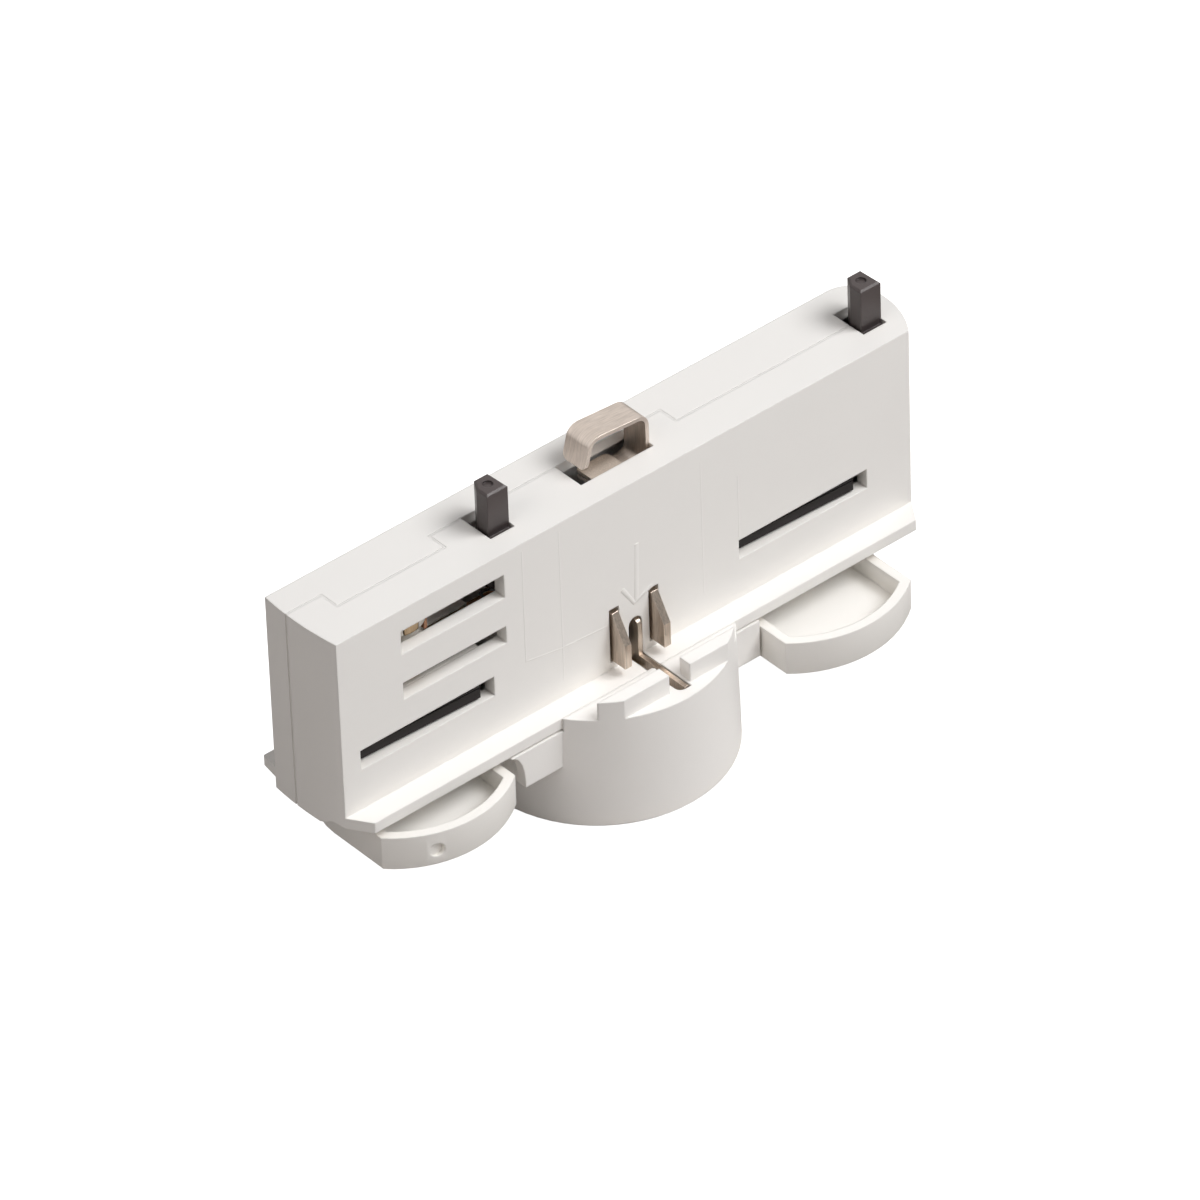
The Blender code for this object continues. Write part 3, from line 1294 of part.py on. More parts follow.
def lead(name, wiper, terminal_left, low, parent):
    """A copper strip from its wiper beside the rotor to the side of a terminal."""
    end = terminal_left - GAP - LEAD_THICK
    path = [
        (wiper, -WIPER_HALF),
        (wiper, WIPER_HALF),
        (wiper + LEAD_BEND, LEAD_Y),
        (terminal_left - LEAD_BEND, LEAD_Y),
        (end, LEAD_Y - LEAD_DROP),
        (end, INNER_FRONT + GAP + TERMINAL_DEPTH - LEAD_TAIL),
    ]
    body = sheet(name, path, low, low + LEAD_HEIGHT, LEAD_THICK)
    return finish(body, name, "copper", parent)


def leads(parent):
    gap = GAP + LEAD_THICK
    line_wiper = AXIS_LEFT + ROTOR_RADIUS + gap
    neutral_wiper = AXIS_LEFT + COLLAR_RADIUS + gap
    lead("line_strip", line_wiper, TERMINALS["line"][0], LINE_LEAD_LOW, parent)
    lead("neutral_strip", neutral_wiper, TERMINALS["neutral"][0], NEUTRAL_LEAD_LOW, parent)


def detent_spring(name, axis_x, parent):
    """A leaf between the rear cover and the shaft's journal, bowed towards the shaft."""
    back = INNER_REAR - GAP - DETENT_THICK / 2
    near = SHAFT_RADIUS + GAP + DETENT_THICK / 2
    path = [
        (axis_x + DETENT_HALF * share, near + (back - near) * share**2)
        for share in spread(-1.0, 1.0, 8)
    ]
    body = sheet(name, path, DETENT_LOW, DETENT_LOW + DETENT_HEIGHT, DETENT_THICK)
    return finish(body, name, "spring_steel", parent)


def stem_bush(parent):
    head_high = FOOT_SEAT - GAP
    head_low = head_high - BUSH_HEAD_THICK
    body = rod("stem_bush", (0, 0), BUSH_RADIUS, BUSH_LOW, head_low + MM, sides=32)
    join(body, hexagon("head", (0, 0), BUSH_HEAD_FLATS, head_low, head_high))
    cut(body, rod("bore", (0, 0), BUSH_BORE, BUSH_LOW - MM, head_high + MM, sides=32))
    return finish(body, "stem_bush", "brass", parent)


def stem_nut(parent):
    high = BOSS_LOW - GAP
    body = hexagon("stem_nut", (0, 0), NUT_FLATS, high - NUT_THICK, high)
    cut(body, rod("bore", (0, 0), BUSH_RADIUS + GAP, high - NUT_THICK - MM, high + MM, sides=32))
    return finish(body, "stem_nut", "steel", parent)


def housing_screw(name, place, parent):
    head_high = BODY_HALF_DEPTH - GAP
    head_low = head_high - SCREW_HEAD_THICK + GAP
    screw = rod(name, place, SCREW_RADIUS, HOUSING_SCREW_TIP, head_low + GAP, "Y", 12)
    join(screw, rod("head", place, SCREW_HEAD, head_low, head_high, "Y", 16))
    cross_cut(screw, place, head_high, 1, "Y")
    return finish(screw, name, "steel", parent)


def foot_screw(name, x, parent):
    head_high = FOOT_SEAT - FOOT_ROOF - GAP
    head_low = head_high - SCREW_HEAD_THICK
    tip = FLANGE_TOP + FOOT_SCREW_RISE - FLANGE_THICK / 2 - 2 * GAP
    place = (x, FOOT_SCREW_Y)
    screw = rod(name, place, SCREW_RADIUS, head_high - GAP, tip, sides=12)
    join(screw, rod("head", place, SCREW_HEAD, head_low, head_high, sides=16))
    cross_cut(screw, place, head_low, -1)
    return finish(screw, name, "steel", parent)


def make_materials():
    material("white_housing", (0.80, 0.79, 0.77), 0.42)
    material("white_foot", (0.80, 0.79, 0.77), 0.42)
    material("white_lever", (0.79, 0.78, 0.75), 0.40)
    material("white_rotor", (0.76, 0.75, 0.72), 0.45)
    material("black_plastic", (0.03, 0.028, 0.028), 0.38)
    material("nickel", (0.55, 0.51, 0.46), 0.30, 1.0)
    material("bronze", (0.50, 0.35, 0.20), 0.35, 1.0)
    material("copper", (0.72, 0.40, 0.26), 0.32, 1.0)
    material("brass", (0.70, 0.55, 0.28), 0.32, 1.0)
    material("steel", (0.52, 0.52, 0.53), 0.35, 1.0)
    material("spring_steel", (0.45, 0.45, 0.46), 0.30, 1.0)


def build():
    clear_scene()
    make_materials()
    low_y = min(LEFT_ARC_Y - LEFT_ARC_RADIUS, RIGHT_ARC_Y - RIGHT_ARC_RADIUS, -FOOT_RADIUS)
    high_y = max(FOOT_RADIUS, FLANGE_REACH)
    low_x = left_end(END_BULGE_Y)
    high_x = right_end(END_BULGE_Y)
    root = bpy.data.objects.new("adapter_origin", None)
    parts.objects.link(root)
    root.location = (-(low_x + high_x) / 2, -(low_y + high_y) / 2, 0.0)

    housing_front(root)
    housing_rear(root)
    foot(root)
    stem_bush(root)
    stem_nut(root)
    for number, place in enumerate(housing_screw_places(), start=1):
        housing_screw(f"housing_screw_{number}", place, root)
    foot_screw("foot_screw_left", -FOOT_SCREW_X, root)
    foot_screw("foot_screw_right", FOOT_SCREW_X, root)
    earth_claws(root)
    earth_strip(root)
    earth_bow_plate(root)
    for use, corner in TERMINALS.items():
        terminal(f"{use}_terminal", corner, root)
        terminal_screw(f"{use}_terminal_screw", corner, root)
    leads(root)
    detent_spring("detent_spring_left", AXIS_LEFT, root)
    detent_spring("detent_spring_right", AXIS_RIGHT, root)

    left_turn = joint_empty("left_turn", (AXIS_LEFT, 0.0, LEVER_TOP), root)
    shape = (LEFT_ARC_X, LEFT_ARC_Y, LEFT_ARC_RADIUS, LEFT_OUT, LEFT_IN)
    lever("lever_left", AXIS_LEFT, shape, left_turn)
    lever_screw("lever_screw_left", AXIS_LEFT, left_turn)
    lock_cam("lock_cam_left", AXIS_LEFT, left_turn)
    contact_rotor(left_turn)
    contact_carrier(left_turn)
    levels = arm_levels()
    contact_leaf("phase_contact_upper", 1, ARM_REACH, levels["upper"], left_turn)
    contact_leaf("phase_contact_lower", 1, ARM_REACH, levels["middle"], left_turn)
    contact_leaf("neutral_contact", -1, NEUTRAL_REACH, levels["middle"], left_turn)

    right_turn = joint_empty("right_turn", (AXIS_RIGHT, 0.0, LEVER_TOP), root)
    shape = (RIGHT_ARC_X, RIGHT_ARC_Y, RIGHT_ARC_RADIUS, RIGHT_OUT, RIGHT_IN)
    lever("lever_right", AXIS_RIGHT, shape, right_turn)
    lever_screw("lever_screw_right", AXIS_RIGHT, right_turn)
    lock_cam("lock_cam_right", AXIS_RIGHT, right_turn)
    lock_shaft(right_turn)

    left_pin, right_pin = pin_centres()
    left_slide = joint_empty("left_pin_slide", (left_pin, 0.0, BODY_TOP), root)
    interlock_pin("interlock_pin_left", left_pin, left_slide)
    pin_spring("pin_spring_left", left_pin, left_slide)
    right_slide = joint_empty("right_pin_slide", (right_pin, 0.0, BODY_TOP), root)
    interlock_pin("interlock_pin_right", right_pin, right_slide)
    pin_spring("pin_spring_right", right_pin, right_slide)

    bow_slide = joint_empty("bow_slide", (bow_centre()[0], 0.0, BODY_TOP), root)
    earth_bow(bow_slide)
    bow_spring(bow_slide)


build()
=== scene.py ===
# %% [markdown]
# A track light adapter for a studio picture.
# The adapter is a white moulded housing that clips into a lighting track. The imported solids
# already have its true shape, so this lesson adds what a solid model can't carry: the grain
# of moulded plastic, the lines of rolled metal, the soft light on every edge, and small
# things such as the lines that a mould leaves. The solids are loaded first and stay as they
# are.

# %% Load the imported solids
import json
from math import cos, radians, sin

import bmesh
import bpy
from mathutils import Matrix, Vector


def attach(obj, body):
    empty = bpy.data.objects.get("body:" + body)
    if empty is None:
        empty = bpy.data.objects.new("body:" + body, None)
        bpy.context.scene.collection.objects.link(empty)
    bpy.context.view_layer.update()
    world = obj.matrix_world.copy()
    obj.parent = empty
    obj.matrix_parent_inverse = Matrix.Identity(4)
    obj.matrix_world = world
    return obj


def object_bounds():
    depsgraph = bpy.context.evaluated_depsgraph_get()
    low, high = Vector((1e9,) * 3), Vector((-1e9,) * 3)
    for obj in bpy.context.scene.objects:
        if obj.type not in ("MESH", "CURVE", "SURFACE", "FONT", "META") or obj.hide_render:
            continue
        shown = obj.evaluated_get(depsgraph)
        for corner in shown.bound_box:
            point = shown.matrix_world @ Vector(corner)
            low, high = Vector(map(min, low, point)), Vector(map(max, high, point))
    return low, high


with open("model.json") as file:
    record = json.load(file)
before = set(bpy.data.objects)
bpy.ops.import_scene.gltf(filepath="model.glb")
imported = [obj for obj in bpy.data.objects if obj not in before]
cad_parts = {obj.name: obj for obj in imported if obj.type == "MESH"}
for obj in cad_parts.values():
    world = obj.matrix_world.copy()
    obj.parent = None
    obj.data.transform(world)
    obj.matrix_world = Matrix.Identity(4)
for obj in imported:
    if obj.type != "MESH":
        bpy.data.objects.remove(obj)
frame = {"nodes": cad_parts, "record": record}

MM = 0.001
cad_box = [list(corner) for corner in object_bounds()]

# %% [markdown]
# The sizes in this lesson are written about the axis of the round foot, as a maker would
# measure them. The frame's own origin is the middle of the adapter's base, a little to the
# side of that axis. One offset takes a point from the first to the second.

# %% Places measured from the foot's axis
FOOT_AXIS = Vector((-1.3345, 0.525, 0.0)) * MM


def at(x, y, z):
    """A point given in millimetres from the foot's axis, in the frame's metres."""
    return FOOT_AXIS + Vector((x, y, z)) * MM


print("foot axis at", [round(v, 5) for v in FOOT_AXIS])

# %% [markdown]
# The picture was taken with a long lens from the front left and well above. The camera's
# turn, tilt and distance were worked out from the straight edges of the housing, so they
# are set here as numbers and the frame's edges land on the picture's.

# %% Camera
AZIMUTH, ELEVATION, ROLL = radians(-39.40), radians(38.24), radians(-2.10)
DISTANCE = 1556.2
FOCAL_PIXELS = 11092.0
PICTURE = 1200
FOOT_PIXEL = (601.0, 737.9)
SENSOR_WIDTH = 36.0
NEAREST, FARTHEST = 0.1, 20.0

forward = Vector((-sin(AZIMUTH) * cos(ELEVATION), cos(AZIMUTH) * cos(ELEVATION), -sin(ELEVATION)))
level = Vector((cos(AZIMUTH), sin(AZIMUTH), 0.0))
upward = level.cross(forward)
right = cos(ROLL) * level + sin(ROLL) * upward
up = -sin(ROLL) * level + cos(ROLL) * upward
side_step = (FOOT_PIXEL[0] - PICTURE / 2) / FOCAL_PIXELS * DISTANCE
up_step = -(FOOT_PIXEL[1] - PICTURE / 2) / FOCAL_PIXELS * DISTANCE
eye = at(*(-side_step * right - up_step * up - DISTANCE * forward))

camera_data = bpy.data.cameras.new("studio_camera")
camera_data.sensor_width = SENSOR_WIDTH
camera_data.lens = FOCAL_PIXELS / PICTURE * SENSOR_WIDTH
camera_data.clip_start = NEAREST
camera_data.clip_end = FARTHEST
camera = bpy.data.objects.new("studio_camera", camera_data)
bpy.context.scene.collection.objects.link(camera)
turn = Matrix((right, up, -forward)).transposed()
camera.matrix_world = Matrix.Translation(eye) @ turn.to_4x4()
bpy.context.scene.camera = camera
print("lens", round(camera_data.lens, 1), "mm, camera", round(DISTANCE), "mm away")

# %% [markdown]
# The light is soft. One large lamp stands high at the front right, so the top and the flange
# are the brightest parts, the slotted face comes next and the round foot grades from bright
# on its right to dark on its left. A weaker lamp at the front lights the floors of the slots,
# a faint one hangs overhead and one at the left keeps the end from going black. Each lamp's
# power was found by rendering it alone and comparing the faces. The floor is a light table:
# it glows for the camera, so it looks evenly white and throws no more light on the adapter
# than a pale floor does.

# %% Floor and light
bpy.context.scene.view_settings.view_transform = "Standard"
bpy.context.scene.view_settings.look = "None"

FLOOR_HALF, FLOOR_BELOW = 2.5, 0.05 * MM
floor_form = bmesh.new()
bmesh.ops.create_grid(floor_form, x_segments=1, y_segments=1, size=FLOOR_HALF)
floor_mesh = bpy.data.meshes.new("floor")
floor_form.to_mesh(floor_mesh)
floor_form.free()
floor = bpy.data.objects.new("floor", floor_mesh)
bpy.context.scene.collection.objects.link(floor)
floor.location.z = cad_box[0][2] - FLOOR_BELOW

floor_paint = bpy.data.materials.new("pale_floor")
floor_paint.use_nodes = True
paint = floor_paint.node_tree.nodes["Principled BSDF"]
paint.inputs["Base Color"].default_value = (0.50, 0.475, 0.455, 1.0)
paint.inputs["Roughness"].default_value = 0.9
paint.inputs["Emission Color"].default_value = (1.0, 1.0, 1.0, 1.0)
seen = floor_paint.node_tree.nodes.new("ShaderNodeLightPath")
floor_paint.node_tree.links.new(seen.outputs["Is Camera Ray"], paint.inputs["Emission Strength"])
floor_mesh.materials.append(floor_paint)


def softbox(name, around, height, away, size, power, color):
    """A square lamp that looks at the adapter; around and height are its angles in degrees,
    away and size are in metres and power is in watts."""
    data = bpy.data.lights.new(name, "AREA")
    data.shape = "SQUARE"
    data.size = size
    data.energy = power
    data.color = color
    lamp = bpy.data.objects.new(name, data)
    bpy.context.scene.collection.objects.link(lamp)
    turn, tilt = radians(around), radians(height)
    toward = Vector((cos(tilt) * sin(turn), -cos(tilt) * cos(turn), sin(tilt)))
    lamp.location = toward * away
    lamp.rotation_euler = toward.to_track_quat("Z", "Y").to_euler()
    print("softbox", name, power, "W")


WHITE, WARM = (1.0, 1.0, 1.0), (1.0, 0.95, 0.92)
softbox("key", 46, 51, 1.4, 0.7, 13.4, WHITE)
softbox("overhead", 20, 82, 1.3, 1.0, 3.0, WHITE)
softbox("front", 10, 45, 1.4, 0.7, 4.4, WHITE)
softbox("left_fill", -85, 40, 1.4, 0.9, 3.9, WARM)

# %% [markdown]
# Metal and glossy plastic show the room as well as the lamps. A studio is bright behind the
# table, where white paper hangs, and dark where the camera stands. The world is made so, but
# only for reflections, because the lamps already give the soft light. The brightness grows
# with how far a reflection points to the back.

# %% Room seen in reflections
world = bpy.data.worlds.new("studio")
bpy.context.scene.world = world
world.use_nodes = True
sky = world.node_tree
rays = sky.nodes.new("ShaderNodeLightPath")
compass = sky.nodes.new("ShaderNodeTexCoord")
split = sky.nodes.new("ShaderNodeSeparateXYZ")
paper = sky.nodes.new("ShaderNodeMapRange")
DARK_FROM, BRIGHT_FROM, DARK, BRIGHT, LEAST = -0.6, 0.5, 0.18, 0.95, 0.03
paper.inputs["From Min"].default_value = DARK_FROM
paper.inputs["From Max"].default_value = BRIGHT_FROM
paper.inputs["To Min"].default_value = DARK
paper.inputs["To Max"].default_value = BRIGHT
seen_in_gloss = sky.nodes.new("ShaderNodeMath")
seen_in_gloss.operation = "MULTIPLY_ADD"
seen_in_gloss.inputs[2].default_value = LEAST
sky.links.new(compass.outputs["Generated"], split.inputs[0])
sky.links.new(split.outputs["Y"], paper.inputs["Value"])
sky.links.new(paper.outputs[0], seen_in_gloss.inputs[0])
sky.links.new(rays.outputs["Is Glossy Ray"], seen_in_gloss.inputs[1])
sky.nodes["Background"].inputs["Color"].default_value = (1.0, 0.985, 0.97, 1.0)
sky.links.new(seen_in_gloss.outputs[0], sky.nodes["Background"].inputs["Strength"])
print("room made for reflections, brightness from", DARK, "to", BRIGHT)

# %% [markdown]
# Every finish below is made from a few effects: the grain of the mould, the soft edge that
# catches light, the painted shade in corners and the lines that rolling leaves on metal.
# Each effect is a node group, made once and placed in a material with its own numbers.
# The next cell holds two short helpers that make a group's sockets and a node. A socket is
# given by its name, or by _ and its number where a node has several of one name: in a Mix
# node 0 is the factor, 2 and 3 are the two numbers, and 6 and 7 are the two colours.

# %% Helpers for node groups


def effect_group(name, inputs, outputs):
    """An empty group; inputs are name and start value, outputs are name and socket kind."""
    tree = bpy.data.node_groups.new(name, "ShaderNodeTree")
    for title, start in inputs:
        kind = "NodeSocketVector" if isinstance(start, tuple) else "NodeSocketFloat"
        socket = tree.interface.new_socket(title, in_out="INPUT", socket_type=kind)
        socket.default_value = start
    for title, kind in outputs:
        tree.interface.new_socket(title, in_out="OUTPUT", socket_type=kind)
    return tree, tree.nodes.new("NodeGroupInput"), tree.nodes.new("NodeGroupOutput")


def add_node(tree, kind, settings=None, **values):
    """A node of one kind; a value that is a socket is linked, any other is set."""
    made = tree.nodes.new(kind)
    for key, value in (settings or {}).items():
        setattr(made, key, value)
    for key, value in values.items():
        title = int(key[1:]) if key[1:].isdigit() else key.replace("_", " ")
        socket = made.inputs[title]
        if isinstance(value, bpy.types.NodeSocket):
            tree.links.new(value, socket)
        else:
            socket.default_value = value
    return made


print("helpers ready")

# %% [markdown]
# Moulded plastic copies the mould's fine spark-eroded skin, and over a few millimetres it is
# never quite flat, because it shrinks as it cools. Two noises of different size stand for
# the two, and a third, very wide one shifts the tone a little from place to place.

# %% Effect: moulded grain
moulded_grain, grain_in, grain_out = effect_group(
    "moulded_grain",
    [("Coordinates", (0.0, 0.0, 0.0)), ("Grain", 9000.0), ("Ripple", 260.0), ("Ripple Share", 0.6)],
    [("Height", "NodeSocketFloat"), ("Tone", "NodeSocketFloat")],
)
fine = add_node(moulded_grain, "ShaderNodeTexNoise", Vector=grain_in.outputs["Coordinates"],
                Scale=grain_in.outputs["Grain"], Detail=3.0, Roughness=0.6)
broad = add_node(moulded_grain, "ShaderNodeTexNoise", Vector=grain_in.outputs["Coordinates"],
                 Scale=grain_in.outputs["Ripple"], Detail=1.0, Roughness=0.4)
mixed = add_node(moulded_grain, "ShaderNodeMix", {"data_type": "FLOAT"},
                 _0=grain_in.outputs["Ripple Share"], _2=fine.outputs[0], _3=broad.outputs[0])
drift = add_node(moulded_grain, "ShaderNodeTexNoise", Vector=grain_in.outputs["Coordinates"],
                 Scale=45.0, Detail=4.0, Roughness=0.55)
moulded_grain.links.new(mixed.outputs[0], grain_out.inputs["Height"])
moulded_grain.links.new(drift.outputs[0], grain_out.inputs["Tone"])
print("group", moulded_grain.name, "with", len(moulded_grain.nodes), "nodes")

# %% [markdown]
# No real edge is sharp. The Bevel node bends the normal near an edge, so a thin bright line
# runs along it as on the real moulding. Where the bent normal and the flat one part, there
# is an edge, and that difference is the mask for a painted highlight along edges.

# %% Effect: soft edge
soft_edge, edge_in, edge_out = effect_group(
    "soft_edge",
    [("Radius", 0.0002), ("Contrast", 6.0)],
    [("Normal", "NodeSocketVector"), ("Edge", "NodeSocketFloat")],
)
rounded = add_node(soft_edge, "ShaderNodeBevel", {"samples": 4}, Radius=edge_in.outputs["Radius"])
flat_normal = add_node(soft_edge, "ShaderNodeNewGeometry")
agreement = add_node(soft_edge, "ShaderNodeVectorMath", {"operation": "DOT_PRODUCT"},
                     _0=rounded.outputs[0], _1=flat_normal.outputs["Normal"])
parting = add_node(soft_edge, "ShaderNodeMath", {"operation": "SUBTRACT"},
                   _0=1.0, _1=agreement.outputs["Value"])
edge_mask = add_node(soft_edge, "ShaderNodeMath", {"operation": "MULTIPLY", "use_clamp": True},
                     _0=parting.outputs[0], _1=edge_in.outputs["Contrast"])
soft_edge.links.new(rounded.outputs[0], edge_out.inputs["Normal"])
soft_edge.links.new(edge_mask.outputs[0], edge_out.inputs["Edge"])
print("group", soft_edge.name, "with", len(soft_edge.nodes), "nodes")

# %% [markdown]
# Painted shade: deep corners are painted a darker, warmer colour that stands for the shade
# and the warm light bounced between the walls there. Ambient Occlusion finds those
# corners.

# %% Effect: painted corner shade
painted_corner_shade, corner_in, corner_out = effect_group(
    "painted_corner_shade",
    [("Reach", 0.004), ("Strength", 1.0)],
    [("Painted Shade", "NodeSocketFloat")],
)
# Painted shade: what Ambient Occlusion finds hidden within the reach is painted as corner shade.
openness = add_node(painted_corner_shade, "ShaderNodeAmbientOcclusion", {"samples": 4},
                    Distance=corner_in.outputs["Reach"])
hidden = add_node(painted_corner_shade, "ShaderNodeMath", {"operation": "SUBTRACT"},
                  _0=1.0, _1=openness.outputs["AO"])
painted_shade_mask = add_node(painted_corner_shade, "ShaderNodeMath", {"operation": "MULTIPLY", "use_clamp": True},
                       _0=hidden.outputs[0], _1=corner_in.outputs["Strength"])
painted_corner_shade.links.new(painted_shade_mask.outputs[0], corner_out.inputs["Painted Shade"])
print("group", painted_corner_shade.name, "with", len(painted_corner_shade.nodes), "nodes")

# %% [markdown]
# The bow, the claws and the contacts are stamped from rolled strip. Rolling leaves fine
# parallel lines, so a noise is stretched along the strip. Stretch is a vector, because each
# strip runs its own way. A second noise, not stretched, gives the cloudy stains of handling.

# %% Effect: rolled lines
rolled_lines, rolled_in, rolled_out = effect_group(
    "rolled_lines",
    [("Coordinates", (0.0, 0.0, 0.0)), ("Stretch", (300.0, 9000.0, 9000.0))],
    [("Height", "NodeSocketFloat"), ("Stain", "NodeSocketFloat")],
)
stretched = add_node(rolled_lines, "ShaderNodeVectorMath", {"operation": "MULTIPLY"},
                     _0=rolled_in.outputs["Coordinates"], _1=rolled_in.outputs["Stretch"])
lines = add_node(rolled_lines, "ShaderNodeTexNoise", Vector=stretched.outputs[0],
                 Scale=1.0, Detail=4.0)
stain = add_node(rolled_lines, "ShaderNodeTexNoise", Vector=rolled_in.outputs["Coordinates"],
                 Scale=420.0, Detail=5.0, Roughness=0.6)
rolled_lines.links.new(lines.outputs[0], rolled_out.inputs["Height"])
rolled_lines.links.new(stain.outputs[0], rolled_out.inputs["Stain"])
print("group", rolled_lines.name, "with", len(rolled_lines.nodes), "nodes")

# %% [markdown]
# The white plastic is the finish that most of the adapter has. Its colour drifts a little,
# is painted darker and warmer in corners as painted shade and paler along edges as a
# painted highlight, and its gloss changes with the same drift. One function makes it,
# because the housing, the foot and the levers come from separate moulds and differ
# slightly in tint and gloss.

# %% How moulded plastic is made
# How far from a wall the painted corner shade reaches.
PAINTED_SHADE_REACH = 4 * MM
# PAINTED_EDGE_HIGHLIGHT lightens edges as a painted highlight; DIMMER is the random drift of tone.
PAINTED_EDGE_HIGHLIGHT, DIMMER = 1.05, 0.965
GLOSSIEST, DULLEST = -0.05, 0.07
GRAIN_STRENGTH = 0.35


def moulded_finish(name, color, painted_shade_color, rough, radius, grain_depth, ripple_share):
    """A plastic with grain; rough is its middle roughness and radius that of its edges."""
    made = bpy.data.materials.new(name)
    made.use_nodes = True
    tree = made.node_tree
    shader = tree.nodes["Principled BSDF"]
    place = add_node(tree, "ShaderNodeTexCoord").outputs["Object"]
    grain = add_node(tree, "ShaderNodeGroup", {"node_tree": moulded_grain}, Coordinates=place,
                     Ripple_Share=ripple_share)
    edge = add_node(tree, "ShaderNodeGroup", {"node_tree": soft_edge}, Radius=radius)
    # Painted shade in corners, found by Ambient Occlusion.
    corner = add_node(tree, "ShaderNodeGroup", {"node_tree": painted_corner_shade}, Reach=PAINTED_SHADE_REACH)
    # pale is the colour of the painted highlight along edges.
    pale = tuple(min(1.0, value * PAINTED_EDGE_HIGHLIGHT) for value in color)
    dim = tuple(value * DIMMER for value in color)
    base = add_node(tree, "ShaderNodeMix", {"data_type": "RGBA"}, _0=grain.outputs["Tone"],
                    _6=(*dim, 1.0), _7=(*color, 1.0))
    # Painted shade: corners take the darker, warmer corner colour.
    corner_shaded = add_node(tree, "ShaderNodeMix", {"data_type": "RGBA"}, _0=corner.outputs["Painted Shade"],
                      _6=base.outputs[2], _7=(*painted_shade_color, 1.0))
    # Painted highlight: edges are painted paler.
    painted_highlight = add_node(tree, "ShaderNodeMix", {"data_type": "RGBA"}, _0=edge.outputs["Edge"],
                    _6=corner_shaded.outputs[2], _7=(*pale, 1.0))
    tree.links.new(painted_highlight.outputs[2], shader.inputs["Base Color"])
    gloss = add_node(tree, "ShaderNodeMapRange", Value=grain.outputs["Tone"],
                     To_Min=rough + GLOSSIEST, To_Max=rough + DULLEST)
    tree.links.new(gloss.outputs[0], shader.inputs["Roughness"])
    bump = add_node(tree, "ShaderNodeBump", Strength=GRAIN_STRENGTH, Distance=grain_depth,
                    Height=grain.outputs["Height"], Normal=edge.outputs["Normal"])
    tree.links.new(bump.outputs[0], shader.inputs["Normal"])
    return made


print("moulded_finish ready")

# %% [markdown]
# Seven plastics come from it. The beads on the face have the housing's colours and only a
# smaller edge radius. The pins are a lighter black than the cams, which lie deep in their
# slots and hardly shine. Each row holds the name, the colour, the colour of the painted
# shade in corners, the roughness, the edge radius, the grain's height and the share of the
# broad ripple in it.

# %% Moulded plastics
# The second colour is the painted shade that corners take.
HOUSING_WHITE, HOUSING_PAINTED_SHADE = (0.89, 0.873, 0.850), (0.90, 0.868, 0.825)
SMOOTH_GRAIN, COARSE_GRAIN = 0.02 * MM, 0.03 * MM
CAM_SPECULAR = 0.25
# In each row the colour after the first is the painted shade in corners.
plastics = [
    ("white_housing", HOUSING_WHITE, HOUSING_PAINTED_SHADE, 0.40, 0.28 * MM, SMOOTH_GRAIN, 0.6),
    ("white_bead", HOUSING_WHITE, HOUSING_PAINTED_SHADE, 0.40, 0.003 * MM, SMOOTH_GRAIN, 0.6),
    ("white_foot", (0.89, 0.873, 0.852), (0.90, 0.870, 0.832), 0.42, 0.30 * MM, SMOOTH_GRAIN, 0.5),
    ("white_lever", (0.90, 0.882, 0.850), (0.92, 0.885, 0.82), 0.36, 0.30 * MM, SMOOTH_GRAIN, 0.55),
    ("white_rotor", (0.88, 0.85, 0.80), (0.86, 0.82, 0.74), 0.45, 0.22 * MM, SMOOTH_GRAIN, 0.4),
    ("black_plastic", (0.017, 0.014, 0.014), (0.010, 0.008, 0.008), 0.42, 0.22 * MM, COARSE_GRAIN, 0.35),
    ("black_pin", (0.062, 0.047, 0.046), (0.020, 0.016, 0.016), 0.34, 0.22 * MM, COARSE_GRAIN, 0.35),
]
finishes = {}
for name, *numbers in plastics:
    finishes[name] = moulded_finish(name, *numbers)
cam_shader = finishes["black_plastic"].node_tree.nodes["Principled BSDF"]
cam_shader.inputs["Specular IOR Level"].default_value = CAM_SPECULAR
print("moulded plastics:", ", ".join(finishes))

# %% [markdown]
# Metal takes its colour from what it reflects, so only the tint, the roughness and the
# rolling lines are set. The lines are paler and rougher than the metal between them, stains
# darken it a little, and its stamped edges are painted brighter as a painted highlight.

# %% How rolled and turned metal is made
# The second share paints stamped edges brighter as a painted highlight.
DULL_SHARE, EDGE_HIGHLIGHT_SHARE = 0.70, 1.25
LINES_FROM, LINES_TO = 0.28, 0.68
BETWEEN_LINES, ON_LINES = -0.08, 0.10
STAIN = (0.80, 0.78, 0.76, 1.0)
LINE_STRENGTH = 0.4


